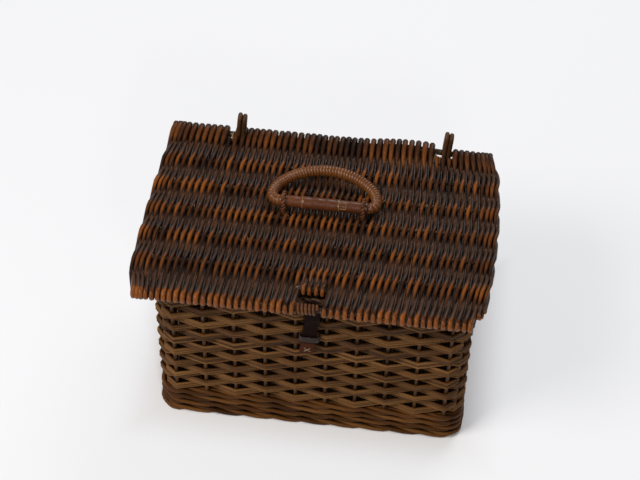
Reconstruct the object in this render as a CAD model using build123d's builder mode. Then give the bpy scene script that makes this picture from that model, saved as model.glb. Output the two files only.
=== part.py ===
"""Small rectangular willow picnic basket with a hinged woven lid, a folding handle and a leather strap.

Sizes are millimetres. The front faces -Y, +X is the right-hand side and the ground is Z = 0.
Each row of side weavers runs in front of one stake and behind the next, and each lid weaver runs over
one lid stick and under the next. A row or a lid weaver here stands for two or three willow rods that lie
side by side in the real weave.
"""

import math
import os

from build123d import *

# Wall of the basket, measured over the weave.
body_width = 328.0
body_depth = 226.0
wall_corner_radius = 15.0
front_stake_count = 10
side_stake_count = 7
stake_thickness = 4.0
row_thickness = 3.6
row_count = 16
row_gap = 0.3

# Foot: heavier rows laid close round the bottom.
foot_height = 37.0
foot_thickness = 10.4
foot_row_count = 4

# Base: a ridged mat on sticks that run from left to right.
base_thickness = 4.0
base_ridge_height = 1.5
base_ridge_count = 22
base_stick_thickness = 6.0
base_stick_count = 5
base_lift = 1.2

# Lid: its sticks lie at lid_level. The reaches run from the middle of the wall to the lid's side edges.
# The first weavers on the left draw in to the front stick.
lid_level = 210.0
lid_front_overhang = 12.4
lid_left_front_reach = 184.6
lid_left_middle_reach = 183.3
lid_left_back_reach = 176.5
lid_right_front_reach = 170.0
lid_right_middle_reach = 179.7
lid_right_back_reach = 172.6
lid_corner_inset = 7.0
lid_corner_run = 26.0
lid_corner_weaver_count = 6
lid_weaver_count = 44
lid_weaver_thickness = 2.8
lid_weaver_gap = 0.3
lid_stick_count = 5
lid_stick_thickness = 5.0
lid_stick_front_setback = 47.0
lid_stick_back_setback = 43.0
lid_stick_inset = 1.0
front_stick_thickness = 5.5
front_stick_left_reach = 178.0
front_stick_right_reach = 161.5
worn_corner_setback = 11.0
broken_edge_setback = 4.0

# Slot in the lid for the strap, with a short bar behind it and a coil on the front stick.
slot_first_weaver = 21
slot_weaver_count = 3
slot_bar_setback = 26.0
slot_bar_thickness = 5.0
slot_bar_overhang = 3.0
slot_coil_count = 4

# Hinge: two doubled loops hold the back stick to the rim behind.
rim_thickness = 6.8
loop_thickness = 2.5
loop_strand_width = 4.5
loop_strand_gap = 0.5
loop_rise = 30.0
loop_room = 1.5
left_loop_weaver = 8
right_loop_weaver = 36
loop_weaver_count = 2

# Handle, lying back on the lid and held to it by two ties.
handle_width = 108.0
handle_length = 48.0
handle_corner_radius = 8.0
handle_side_radius = 28.0
bow_thickness = 12.0
bar_thickness = 13.2
tie_thickness = 2.5
tie_width = 6.0
tie_weaver_offset = 5

# Strap, and the keeper that holds it against the front wall.
strap_width = 15.0
strap_thickness = 2.0
strap_top_rise = 4.0
strap_rim_drop = 14.0
strap_tip_drop = 81.0
strap_slot_offset = 4.2
strap_keeper_shift = 1.6
strap_tip_shift = 4.0
keeper_row = 11
keeper_width = 21.4
keeper_height = 5.5
keeper_thickness = 1.2
keeper_play = 7.0

# Air left between pieces.
seat_gap = 0.3
weave_clearance = 0.5
stake_clearance = 0.8
strap_clearance = 0.6

# Numbers of sides of the rods, and of straight steps round the bow.
fine_sides = 6
stout_sides = 8
bar_sides = 12
bend_steps = 3
side_steps = 2
arch_steps = 5

overrun = 20.0
quarter_turn = 90


def over(rod_thickness, weaver_thickness):
    """Distance from a rod's axis to the middle of a weaver that passes it."""
    return rod_thickness / 2 + weave_clearance + weaver_thickness / 2


wall_swing = stake_thickness / 2 + stake_clearance + row_thickness / 2
wall_half = wall_swing + row_thickness / 2
half_width = body_width / 2 - wall_half
half_depth = body_depth / 2 - wall_half

lid_depth = half_depth + body_depth / 2 + lid_front_overhang
lid_stick_pitch = (lid_depth - lid_stick_front_setback - lid_stick_back_setback) / (lid_stick_count - 1)
lid_swing = over(lid_stick_thickness, lid_weaver_thickness)
lid_top = lid_level + lid_swing + lid_weaver_thickness / 2
lid_bottom = lid_level - lid_swing - lid_weaver_thickness / 2
rim_level = lid_bottom - seat_gap - rim_thickness / 2
loop_reach = rim_thickness / 2 + seat_gap + loop_thickness
siding_top = rim_level - loop_reach - loop_room
row_pitch = (siding_top - foot_height) / row_count


def turn_reach(rod_thickness):
    """How far the turned end of a lid weaver stands out from the axis of the rod it turns round."""
    return rod_thickness / 2 + weave_clearance + lid_weaver_thickness


# The origin is the middle of the whole basket's plan. The rim at the back is the hinge line.
rail_y = (lid_depth + turn_reach(front_stick_thickness) - turn_reach(rim_thickness)) / 2
front_y = rail_y - lid_depth
wall_y = rail_y - half_depth
wall_x = (lid_left_front_reach - lid_right_middle_reach) / 2
wall_front_y = wall_y - body_depth / 2

os.makedirs("parts", exist_ok=True)


def keep(piece, name):
    """Label a finished piece and write its file."""
    piece.part.label = name
    export_step(piece.part, "parts/" + name + ".step")


def flat_up(sides):
    """Turn that puts a flat of a rod with this many sides uppermost."""
    return 90 - 180 / sides


def turned(angle):
    """Unit vector at an angle from +X in the plan."""
    return Vector(math.cos(math.radians(angle)), math.sin(math.radians(angle)))


def wall_corner(angle, reach, straight):
    """Middle of the rounded corner at the end of the wall that faces angle, and its outward direction."""
    out = turned(angle + 45)
    middle = turned(angle) * (reach - wall_corner_radius) + turned(angle + 90) * straight
    return middle + out * wall_corner_radius + Vector(wall_x, wall_y), out


def wall_sides(angle):
    """Reach and half of the straight run of the wall that faces angle, then of the wall before it."""
    across = (half_width, half_depth - wall_corner_radius)
    along = (half_depth, half_width - wall_corner_radius)
    if angle % 180:
        return along, across
    return across, along


def wall_stakes(angle, count):
    """Places of the stakes of one wall, in the order that runs anticlockwise seen from above."""
    (reach, straight), _ = wall_sides(angle)
    places = []
    for number in range(count):
        share = 2 * number / (count - 1) - 1
        place = turned(angle) * reach + turned(angle + 90) * straight * share
        places.append(place + Vector(wall_x, wall_y))
    return places


def wall_run(angle, count, swings, side):
    """Line along one wall from corner to corner, side away from the middle of its weavers."""
    (reach, straight), (last_reach, last_straight) = wall_sides(angle)
    corner, out = wall_corner(angle - 90, last_reach, last_straight)
    line = [corner + out * side]
    for place, swing in zip(wall_stakes(angle, count), swings):
        line.append(place + turned(angle) * (swing + side))
    corner, out = wall_corner(angle, reach, straight)
    line.append(corner + out * side)
    return [(point.X, point.Y) for point in line]


def wall_outline(angle, count, swings, thickness):
    """Plan of one wall's row of weavers, down its outer face and back along its inner face."""
    outside = wall_run(angle, count, swings, thickness / 2)
    inside = wall_run(angle, count, swings, -thickness / 2)
    return outside + inside[::-1]


def keep_rows(name, height, runs):
    """Write the rows of one wall. Each run is the levels that its rows start at and their plan."""
    with BuildPart() as rows:
        for levels, outline in runs:
            with BuildSketch(*[Plane.XY.offset(level) for level in levels]):
                with BuildLine():
                    Polyline(*outline, close=True)
                make_face()
            extrude(amount=height)
    keep(rows, name)


def keep_rod(name, x_from, x_to, y, z, thickness, sides):
    """Write a rod from left to right, as thick as stated across its flats."""
    with BuildPart() as piece:
        with BuildSketch(Plane.YZ.offset(x_from)):
            with Locations((y, z)):
                RegularPolygon(thickness / 2, sides, major_radius=False, rotation=flat_up(sides))
        extrude(amount=x_to - x_from)
    keep(piece, name)


def section(left_x, right_x, y, z, thickness):
    """Corners of an upright rectangle across a weaver."""
    low = z - thickness / 2
    high = z + thickness / 2
    return [(left_x, y, low), (right_x, y, low), (right_x, y, high), (left_x, y, high)]


def faceted(sections):
    """Solid with flat faces through a row of four-cornered sections."""
    faces = [Face(Wire.make_polygon(sections[0])), Face(Wire.make_polygon(sections[-1]))]
    for near, far in zip(sections, sections[1:]):
        for corner in range(len(near)):
            side = [near[corner - 1], near[corner], far[corner], far[corner - 1]]
            faces.append(Face(Wire.make_polygon(side)))
    return Solid(Shell(faces))


# Walls: foot rows, stakes, weavers and rim of each side. Walls meet on the middle of the rounded corners.
walls = {
    "front": (-90, front_stake_count, 0),
    "right": (0, side_stake_count, front_stake_count),
    "back": (90, front_stake_count, front_stake_count + side_stake_count),
    "left": (180, side_stake_count, 2 * front_stake_count + side_stake_count),
}
foot_pitch = foot_height / foot_row_count
rim_bottom = rim_level - rim_thickness / 2
for wall, (facing, stake_count, first_stake) in walls.items():
    foot_levels = [foot_pitch * row for row in range(foot_row_count)]
    foot_outline = wall_outline(facing, stake_count, [0] * stake_count, foot_thickness)
    keep_rows(wall + "_foot", foot_pitch - row_gap, [(foot_levels, foot_outline)])

    siding_runs = []
    for phase in (0, 1):
        row_levels = [foot_height + row_pitch * row for row in range(phase, row_count, 2)]
        swings = []
        for number in range(stake_count):
            outward = (first_stake + number + phase) % 2 == 0
            swings.append(wall_swing if outward else -wall_swing)
        siding_runs.append((row_levels, wall_outline(facing, stake_count, swings, row_thickness)))
    keep_rows(wall + "_siding", row_pitch - row_gap, siding_runs)

    stake_places = wall_stakes(facing, stake_count)
    with BuildPart() as stakes:
        with BuildSketch(Plane.XY.offset(foot_height - row_gap)):
            with Locations(*stake_places):
                RegularPolygon(stake_thickness / 2, fine_sides)
        extrude(amount=rim_bottom - foot_height + row_gap)
    keep(stakes, wall + "_stakes")

    (rim_reach, rim_straight), (last_reach, last_straight) = wall_sides(facing)
    rim_from, from_out = wall_corner(facing - 90, last_reach, last_straight)
    rim_to, to_out = wall_corner(facing, rim_reach, rim_straight)
    rim_start = rim_from + (rim_from - stake_places[0]).normalized() * rim_thickness
    rim_end = rim_to + (rim_to - stake_places[-1]).normalized() * rim_thickness
    with BuildPart() as rim:
        with BuildLine(Plane.XY.offset(rim_level)) as rim_line:
            rim_points = [rim_start, stake_places[0], stake_places[-1], rim_end]
            Polyline(*[(point.X, point.Y) for point in rim_points])
        with BuildSketch(Plane(rim_line.line @ 0, x_dir=(0, 0, 1), z_dir=rim_line.line % 0)):
            RegularPolygon(rim_thickness / 2, stout_sides, major_radius=False, rotation=flat_up(stout_sides))
        sweep(path=rim_line.line, transition=Transition.RIGHT)
        split(bisect_by=Plane(rim_from, x_dir=from_out, z_dir=turned(facing + 45)), keep=Keep.TOP)
        split(bisect_by=Plane(rim_to, x_dir=to_out, z_dir=turned(facing + 135)), keep=Keep.BOTTOM)
    keep(rim, wall + "_rim")


# Base, held inside the foot.
base_half_width = half_width - foot_thickness / 2 - seat_gap
base_half_depth = half_depth - foot_thickness / 2 - seat_gap
base_bottom = base_lift + base_stick_thickness + seat_gap
base_ridge_pitch = 2 * base_half_width / base_ridge_count
base_low = base_bottom + base_ridge_height
base_high = base_low + base_thickness
with BuildPart() as base_mat:
    crests = []
    for ridge in range(base_ridge_count):
        ridge_x = wall_x - base_half_width + base_ridge_pitch * ridge
        crests += [(ridge_x, 0), (ridge_x + base_ridge_pitch / 2, base_ridge_height)]
    crests.append((wall_x + base_half_width, 0))
    top_line = [(x, base_high + rise) for x, rise in crests]
    bottom_line = [(x, base_low - rise) for x, rise in reversed(crests)]
    with BuildSketch(Plane.XZ.offset(base_half_depth - wall_y)):
        with BuildLine():
            Polyline(*top_line, *bottom_line, close=True)
        make_face()
    extrude(amount=-2 * base_half_depth)
    upright_edges = base_mat.edges().filter_by(Axis.Z)
    chamfer(upright_edges, length=wall_corner_radius - foot_thickness / 2)
keep(base_mat, "base_mat")

base_stick_pitch = 2 * base_half_depth / base_stick_count
for number in range(base_stick_count):
    name = "base_stick_" + str(number + 1)
    stick_ends = (wall_x - base_half_width, wall_x + base_half_width)
    stick_y = wall_y - base_half_depth + base_stick_pitch * (2 * number + 1) / 2
    stick_z = base_lift + base_stick_thickness / 2
    keep_rod(name, *stick_ends, stick_y, stick_z, base_stick_thickness, fine_sides)


# Lid.
def bowed(front, middle, back, share):
    """Value at a share of the way from front to back on a smooth curve through three values."""
    front_part = front * (1 - share) * (1 - 2 * share)
    middle_part = middle * 4 * share * (1 - share)
    back_part = back * share * (2 * share - 1)
    return front_part + middle_part + back_part


def lid_x(y, weavers):
    """Where the edge after so many weavers, counted from the left, lies at y."""
    share = (y - front_y) / lid_depth
    left = bowed(lid_left_front_reach, lid_left_middle_reach, lid_left_back_reach, share)
    right = bowed(lid_right_front_reach, lid_right_middle_reach, lid_right_back_reach, share)
    near_front = min(1, max(0, 1 - (y - front_y) / lid_corner_run))
    near_left = max(0, 1 - weavers / lid_corner_weaver_count)
    drawn_in = lid_corner_inset * near_front * near_left
    return wall_x - left + drawn_in + (left + right) * weavers / lid_weaver_count


def between(near, far, y):
    """Point at y on the line through two (y, z) points."""
    share = (y - near[0]) / (far[0] - near[0])
    return (y, near[1] + (far[1] - near[1]) * share)


def turned_end(y, rod_thickness, ahead, side):
    """A weaver's end from the top (side 1) or underside (side -1) of a rod round to its face."""
    rise = side * over(rod_thickness, lid_weaver_thickness)
    past = ahead * (turn_reach(rod_thickness) - lid_weaver_thickness)
    return [
        (y, lid_level + rise),
        (y + past, lid_level + rise),
        (y + ahead * turn_reach(rod_thickness), lid_level),
    ]


first_stick_y = front_y + lid_stick_front_setback
stick_places = [first_stick_y + lid_stick_pitch * number for number in range(lid_stick_count)]
slot_bar_y = front_y + slot_bar_setback
slot_weavers = range(slot_first_weaver, slot_first_weaver + slot_weaver_count)
left_loop_weavers = range(left_loop_weaver, left_loop_weaver + loop_weaver_count)
right_loop_weavers = range(right_loop_weaver, right_loop_weaver + loop_weaver_count)
broken_y = rail_y - broken_edge_setback
stick_right_x = wall_x + front_stick_right_reach
worn_weaver = min(number for number in range(lid_weaver_count) if lid_x(front_y, number + 1) > stick_right_x)


def weaver_path(number):
    """Places (y, z) of one lid weaver from its front end to its back end."""
    path = []
    for stick, y in enumerate(stick_places):
        side = -1 if (number + stick) % 2 else 1
        path.append((y, lid_level + side * lid_swing))
    front_end = turned_end(front_y, front_stick_thickness, -1, 1)
    if number in slot_weavers:
        side = -1 if number % 2 else 1
        front_end = turned_end(slot_bar_y, slot_bar_thickness, -1, side)
    elif number >= worn_weaver:
        front_end = [between(path[0], front_end[0], front_y + worn_corner_setback)]
    back_end = turned_end(rail_y, rim_thickness, 1, 1)
    if number in left_loop_weavers or number in right_loop_weavers:
        back_end = [between(path[-1], back_end[0], rail_y - loop_reach - weave_clearance)]
    elif number > right_loop_weavers[-1]:
        back_end = turned_end(broken_y, rim_thickness, 1, 1)
    return front_end[::-1] + path + back_end


stick_corner = lid_stick_thickness / 2 / math.cos(math.pi / fine_sides)
handle_y = stick_places[2] + stick_corner + 2 * seat_gap + tie_thickness + bar_thickness / 2
handle_z = lid_top + seat_gap + bar_thickness / 2
handle_x = lid_x(handle_y, lid_weaver_count / 2)
tie_places = {
    "left": lid_x(handle_y, lid_weaver_count / 2 - tie_weaver_offset),
    "right": lid_x(handle_y, lid_weaver_count / 2 + tie_weaver_offset),
}
tie_inside = bar_thickness / 2 + seat_gap
tie_leg = tie_inside + tie_thickness / 2

weavers = []
for number in range(lid_weaver_count):
    sections = []
    for y, z in weaver_path(number):
        left_x = lid_x(y, number) + lid_weaver_gap / 2
        right_x = lid_x(y, number + 1) - lid_weaver_gap / 2
        sections.append(section(left_x, right_x, y, z, lid_weaver_thickness))
    weavers.append(faceted(sections))

with BuildPart() as lid_weave:
    add(weavers)
    with BuildSketch(Plane.XY.offset(lid_level)):
        leg_places = []
        for tie_x in tie_places.values():
            leg_places += [(tie_x, handle_y - tie_leg), (tie_x, handle_y + tie_leg)]
        with Locations(*leg_places):
            Rectangle(tie_width + 2 * seat_gap, tie_thickness + 2 * seat_gap)
    extrude(amount=overrun, both=True, mode=Mode.SUBTRACT)
keep(lid_weave, "lid_weave")

for number, y in enumerate(stick_places):
    name = "lid_stick_" + str(number + 1)
    stick_ends = (lid_x(y, 0) + lid_stick_inset, lid_x(y, lid_weaver_count) - lid_stick_inset)
    keep_rod(name, *stick_ends, y, lid_level, lid_stick_thickness, fine_sides)

stick_ends = (wall_x - front_stick_left_reach, stick_right_x)
keep_rod("lid_front_stick", *stick_ends, front_y, lid_level, front_stick_thickness, stout_sides)

stick_ends = (lid_x(rail_y, 0) + lid_stick_inset, lid_x(rail_y, right_loop_weavers[-1] + 1))
keep_rod("lid_back_stick", *stick_ends, rail_y, lid_level, rim_thickness, stout_sides)

# The back stick has broken at the right loop, and its end lies further forward.
broken_from = lid_x(broken_y, right_loop_weavers[-1] + 1) + lid_weaver_gap
stick_ends = (broken_from, lid_x(broken_y, lid_weaver_count) - lid_stick_inset)
keep_rod("lid_back_stick_end", *stick_ends, broken_y, lid_level, rim_thickness, stout_sides)

slot_bar_from = lid_x(slot_bar_y, slot_first_weaver) - slot_bar_overhang
slot_bar_to = lid_x(slot_bar_y, slot_weavers[-1] + 1) + slot_bar_overhang
keep_rod("slot_bar", slot_bar_from, slot_bar_to, slot_bar_y, lid_level, slot_bar_thickness, fine_sides)

slot_from = lid_x(front_y, slot_first_weaver) + lid_weaver_gap
slot_to = lid_x(front_y, slot_weavers[-1] + 1)
coil_pitch = (slot_to - slot_from) / slot_coil_count
coil_outside = front_stick_thickness + 2 * (seat_gap + lid_weaver_thickness)
with BuildPart() as slot_coil:
    for turn in range(slot_coil_count):
        with BuildSketch(Plane.YZ.offset(slot_from + coil_pitch * turn)):
            with Locations((front_y, lid_level)):
                for half, mode in (
                    (coil_outside / 2, Mode.ADD),
                    (front_stick_thickness / 2 + seat_gap, Mode.SUBTRACT),
                ):
                    RegularPolygon(half, stout_sides, False, rotation=flat_up(stout_sides), mode=mode)
        extrude(amount=coil_pitch - lid_weaver_gap)
keep(slot_coil, "slot_coil")


# Hinge loops round the back stick and the rim. They turn on the rim with the lid.
loop_top = lid_level + loop_rise
loop_places = {"left": left_loop_weavers, "right": right_loop_weavers}
for side, weavers in loop_places.items():
    loop_right = lid_x(rail_y, weavers[-1] + 1) - lid_weaver_gap
    with BuildPart() as loop:
        for strand in range(2):
            strand_x = loop_right - loop_strand_width - strand * (loop_strand_width + loop_strand_gap)
            with BuildSketch(Plane.YZ.offset(strand_x)):
                for half, top, mode in (
                    (loop_reach, loop_top, Mode.ADD),
                    (loop_reach - loop_thickness, loop_top - loop_thickness, Mode.SUBTRACT),
                ):
                    with Locations((rail_y, rim_level)):
                        RegularPolygon(half, stout_sides, False, rotation=flat_up(stout_sides), mode=mode)
                    with Locations((rail_y, (rim_level + top) / 2)):
                        Rectangle(2 * half, top - rim_level, mode=mode)
            extrude(amount=loop_strand_width)
    keep(loop, "hinge_loop_" + side)


# Handle.
bar_half = handle_width / 2 - handle_corner_radius
with BuildPart() as handle_bar:
    with BuildSketch(Plane.YZ.offset(handle_x - bar_half)):
        with Locations((handle_y, handle_z)):
            RegularPolygon(bar_thickness / 2, bar_sides)
    extrude(amount=2 * bar_half)
keep(handle_bar, "handle_bar")

# The bow is a flat arc that runs smoothly into a rounder arc at each side, laid in straight steps.
arch_half = handle_width / 2
arch_rise = handle_length - handle_corner_radius
arch_span = arch_half**2 + arch_rise**2 - 2 * arch_half * handle_side_radius
arch_radius = arch_span / (2 * (arch_rise - handle_side_radius))
arch_y = handle_length - arch_radius
side_x = arch_half - handle_side_radius
side_turn = math.degrees(math.atan2(handle_corner_radius - arch_y, side_x))


def arc_steps(centre_x, centre_y, radius, start, turn, steps):
    """Corners of straight steps laid round the outside of an arc."""
    step = turn / steps
    corner_radius = radius / math.cos(math.radians(step / 2))
    corners = []
    for number in range(steps):
        corner = turned(start + step * (2 * number + 1) / 2) * corner_radius
        corners.append((centre_x + corner.X, centre_y + corner.Y))
    return corners


right_half = [
    (bar_half, 0),
    *arc_steps(bar_half, handle_corner_radius, handle_corner_radius, -quarter_turn, quarter_turn, bend_steps),
    *arc_steps(side_x, handle_corner_radius, handle_side_radius, 0, side_turn, side_steps),
]
arch_points = arc_steps(0, arch_y, arch_radius, side_turn, 2 * (quarter_turn - side_turn), arch_steps)
left_half = [(-x, y) for x, y in reversed(right_half)]
bow_points = right_half + arch_points + left_half
with BuildPart() as handle_bow:
    with BuildLine(Plane((handle_x, handle_y, handle_z))) as bow_line:
        Polyline(*bow_points)
    with BuildSketch(Plane(bow_line.line @ 0, x_dir=(0, 1, 0), z_dir=(1, 0, 0))):
        RegularPolygon(bow_thickness / 2, stout_sides, major_radius=False, rotation=flat_up(stout_sides))
    sweep(path=bow_line.line, transition=Transition.RIGHT)
keep(handle_bow, "handle_bow")

tie_bottom = lid_bottom - seat_gap - tie_thickness
for side, tie_x in tie_places.items():
    with BuildPart() as tie:
        with BuildSketch(Plane.YZ.offset(tie_x - tie_width / 2)):
            for half, low, mode in (
                (tie_inside + tie_thickness, tie_bottom, Mode.ADD),
                (tie_inside, tie_bottom + tie_thickness, Mode.SUBTRACT),
            ):
                with Locations((handle_y, handle_z)):
                    RegularPolygon(half, bar_sides, False, rotation=flat_up(bar_sides), mode=mode)
                with Locations((handle_y, (handle_z + low) / 2)):
                    Rectangle(2 * half, handle_z - low, mode=mode)
        extrude(amount=tie_width)
    keep(tie, "handle_tie_" + side)


# Strap and keeper.
strap_top_y = front_y + coil_outside / 2 + seat_gap + strap_thickness / 2
strap_wall_y = wall_front_y - strap_clearance - strap_thickness / 2
keeper_level = foot_height + row_pitch * keeper_row + (row_pitch - row_gap) / 2
strap_top_x = (slot_from + slot_to) / 2 + strap_slot_offset
strap_keeper_x = strap_top_x - strap_keeper_shift
strap_tip_x = strap_top_x - strap_tip_shift
strap_sections = []
for x, y, z in (
    (strap_top_x, strap_top_y, lid_level + strap_top_rise),
    (strap_top_x, strap_top_y, lid_level - strap_rim_drop),
    (strap_keeper_x, strap_wall_y, keeper_level),
    (strap_tip_x, strap_wall_y, lid_level - strap_tip_drop),
):
    left_x = x - strap_width / 2
    right_x = left_x + strap_width
    near_y = y - strap_thickness / 2
    far_y = near_y + strap_thickness
    near_edge = [(left_x, near_y, z), (right_x, near_y, z)]
    far_edge = [(right_x, far_y, z), (left_x, far_y, z)]
    strap_sections.append(near_edge + far_edge)
with BuildPart() as strap:
    add(faceted(strap_sections))
keep(strap, "strap")


def front_row_y(x, row):
    """Outer face of a front row at a place between two stakes."""
    pitch = 2 * (half_width - wall_corner_radius) / (front_stake_count - 1)
    steps = (x - wall_x + half_width - wall_corner_radius) / pitch
    outward = (math.floor(steps) + row) % 2 == 0
    share = steps - math.floor(steps)
    swing = wall_swing * (1 - 2 * share)
    return wall_y - half_depth - row_thickness / 2 - (swing if outward else -swing)


def keeper_foot(from_x, to_x):
    """Where the end of a keeper leg seats on the row behind it."""
    return min(front_row_y(from_x, keeper_row), front_row_y(to_x, keeper_row)) - seat_gap


keeper_from = strap_keeper_x - keeper_width / 2
keeper_to = keeper_from + keeper_width
inside_from = keeper_from + keeper_thickness
inside_to = keeper_to - keeper_thickness
keeper_inside = strap_wall_y - strap_thickness / 2 - keeper_play
keeper_face = keeper_inside - keeper_thickness
left_foot_y = keeper_foot(keeper_from, inside_from)
right_foot_y = keeper_foot(inside_to, keeper_to)
with BuildPart() as keeper:
    with BuildSketch(Plane.XY.offset(keeper_level - keeper_height / 2)):
        with BuildLine():
            Polyline(
                (keeper_from, left_foot_y),
                (keeper_from, keeper_face),
                (keeper_to, keeper_face),
                (keeper_to, right_foot_y),
                (inside_to, right_foot_y),
                (inside_to, keeper_inside),
                (inside_from, keeper_inside),
                (inside_from, left_foot_y),
                close=True,
            )
        make_face()
    extrude(amount=keeper_height)
keep(keeper, "strap_keeper")
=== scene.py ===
"""Looks of a small willow picnic basket with a woven lid, a wrapped handle and a leather strap.

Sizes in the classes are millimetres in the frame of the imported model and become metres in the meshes.
"""

import logging
import math
import random
from dataclasses import dataclass, field
from enum import Enum

import bmesh
import bpy
from mathutils import Matrix, Vector

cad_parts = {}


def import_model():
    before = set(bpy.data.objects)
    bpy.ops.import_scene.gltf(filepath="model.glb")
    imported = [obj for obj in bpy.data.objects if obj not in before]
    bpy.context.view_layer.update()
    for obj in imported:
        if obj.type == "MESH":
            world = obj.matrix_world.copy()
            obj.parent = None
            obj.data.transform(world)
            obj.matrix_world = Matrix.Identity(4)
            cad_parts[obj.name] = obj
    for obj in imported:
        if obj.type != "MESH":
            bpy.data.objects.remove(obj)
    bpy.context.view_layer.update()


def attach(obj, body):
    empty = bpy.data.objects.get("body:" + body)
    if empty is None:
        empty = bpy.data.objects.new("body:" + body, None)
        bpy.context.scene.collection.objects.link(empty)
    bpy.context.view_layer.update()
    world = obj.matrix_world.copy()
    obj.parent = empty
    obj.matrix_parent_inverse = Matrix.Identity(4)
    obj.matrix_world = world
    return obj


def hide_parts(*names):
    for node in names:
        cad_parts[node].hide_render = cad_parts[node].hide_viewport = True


LOG = logging.getLogger("picnic_basket")
MM = 0.001
Pair = tuple[float, float]
Triple = tuple[float, float, float]
Material = bpy.types.Material
Socket = bpy.types.NodeSocket

# Ranges that the shaders bring to 0 to 1. A lean is the Y part of a face's normal.
# Faces that lean this far to the back take the painted sheen.
SHEEN_LEAN = (0.02, 0.3)
# These two pick faces turned to the front, where the worn colour also stands in as painted light from the
# front.
CREST_LIT_LEAN = (0.12, -0.12)
EDGE_LIT_LEAN = (-0.3, -0.65)
RAGGED_TONES = (0.35, 0.95)
RUBBED_PATCHES = (0.36, 0.6)
SPECKED_SPOTS = (0.58, 0.7)
# Openness over which the painted shade in the hollows fades out.
SHADE_OPENNESS = (0.2, 0.75)
ROUGH_SPOTS = (0.3, 0.7)
SCUFFED_PATCHES = (0.5, 0.75)

# Least value of a share, and how much is added to it at most.
GRAIN_SHADE = (0.72, 0.56)
PATCH_WEAR = (0.45, 0.75)
BACK_WEAR = (0.3, 0.7)
EDGE_WEAR_AND_LIGHT = (0.62, 0.38)

# How far a rod's tone, its streaks and its patches each shift its shade, and where its three colours lie.
TONE_SHIFT = 0.5
STREAK_SHIFT = 0.5
PATCH_SHIFT = 0.5
PATCH_MIDDLE = 0.5
SHADE_PLACES = (0.18, 0.5, 0.85)

# How far apart rods of different tone lie in the pattern of streaks, and how far the streaks stand out.
TONES_APART = 9.0
STREAK_RELIEF = 0.6


class Body(Enum):
    """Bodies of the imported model."""

    BASKET = "basket"
    LID = "lid"
    HANDLE = "handle"


class Mark(Enum):
    """Attributes that a rod carries into its material."""

    THICK = "thick"
    PHASE = "phase"
    TONE = "tone"
    ALONG = "along"


@dataclass
class Rod:
    """One rod: its way, its half thickness at each point, and where its winding starts.

    Attributes:
        points: Places along the rod in millimetres.
        radii: Half thickness at each place.
        closed: Whether the last point runs on to the first.
        phase: Share of a turn at which a wound rod starts.
    """

    points: list[Vector]
    radii: list[float]
    closed: bool = False
    phase: float = 0.0

    @classmethod
    def even(cls, points: list[Vector], radius: float, closed: bool = False, phase: float = 0.0) -> "Rod":
        """Make a rod of one thickness."""
        return cls(points, [radius] * len(points), closed, phase)


class Uneven(random.Random):
    """Source of the small differences between rods."""

    def stray(self, reach: float) -> float:
        """Draw a distance to either side."""
        return self.uniform(-reach, reach)


class NodeNet:
    """Short way to add and link nodes in one tree."""

    def __init__(self, tree: bpy.types.NodeTree) -> None:
        """Hold the tree that nodes are added to."""
        self.tree = tree

    def add(
        self, kind: str, inputs: dict[object, object] | None = None, **settings: object
    ) -> bpy.types.Node:
        """Add a node, set its properties and feed its inputs.

        Args:
            kind: Node type.
            inputs: Socket name or number to a value or to the output socket that feeds it.
            **settings: Properties of the node.

        Returns:
            The new node.
        """
        node = self.tree.nodes.new(kind)
        for name, value in settings.items():
            setattr(node, name, value)
        self.feed(node, inputs or {})
        return node

    def feed(self, node: bpy.types.Node, inputs: dict[object, object]) -> None:
        """Feed inputs of a node.

        Args:
            node: The node.
            inputs: Socket name or number to a value or to the output socket that feeds it.
        """
        for key, value in inputs.items():
            socket = node.inputs[key]
            if isinstance(value, Socket):
                self.tree.links.new(value, socket)
            else:
                socket.default_value = value

    def math(self, operation: str, first: object, second: object = 0.0) -> Socket:
        """Add a math node."""
        return self.add("ShaderNodeMath", {0: first, 1: second}, operation=operation).outputs[0]

    def times(self, first: object, second: object) -> Socket:
        """Multiply two values."""
        return self.math("MULTIPLY", first, second)

    def plus(self, first: object, second: object) -> Socket:
        """Add two values."""
        return self.math("ADD", first, second)

    def raised(self, value: object, least: float, more: float) -> Socket:
        """Bring a value from 0 to 1 to a range with another start and length."""
        return self.plus(least, self.times(value, more))

    def mix(self, share: object, first: object, second: object, blend: str = "MIX") -> Socket:
        """Mix two colours."""
        feeds = {0: share, 6: first, 7: second}
        return self.add("ShaderNodeMix", feeds, data_type="RGBA", blend_type=blend).outputs[2]

    def span(self, value: object, low: float, high: float) -> Socket:
        """Bring a value between two limits smoothly to 0 to 1."""
        feeds = {"Value": value, "From Min": low, "From Max": high}
        return self.add("ShaderNodeMapRange", feeds, interpolation_type="SMOOTHSTEP").outputs[0]

    def remap(self, value: object, limits: Pair, low: float, high: float) -> Socket:
        """Bring a value between two limits evenly to two others."""
        feeds = {"Value": value, "From Min": limits[0], "From Max": limits[1], "To Min": low, "To Max": high}
        return self.add("ShaderNodeMapRange", feeds).outputs[0]

    def bump(self, height: Socket, strength: float, depth: float) -> Socket:
        """Add relief, its depth in millimetres."""
        feeds = {"Strength": strength, "Distance": depth * MM, "Height": height}
        return self.add("ShaderNodeBump", feeds).outputs[0]

    def noise(self, vector: Socket, scale: float, detail: float) -> Socket:
        """Add a noise texture."""
        return self.add("ShaderNodeTexNoise", {"Vector": vector, "Scale": scale, "Detail": detail}).outputs[0]

    def ramp(self, value: Socket, stops: list[tuple[float, tuple]]) -> Socket:
        """Add a colour ramp.

        Args:
            value: Place on the ramp.
            stops: Places and colours.

        Returns:
            The colour.
        """
        node = self.add("ShaderNodeValToRGB", {0: value})
        elements = node.color_ramp.elements
        while len(elements) < len(stops):
            elements.new(0.5)
        for element, (place, colour) in zip(elements, stops):
            element.position = place
            element.color = (*colour, 1.0)
        return node.outputs[0]


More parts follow.
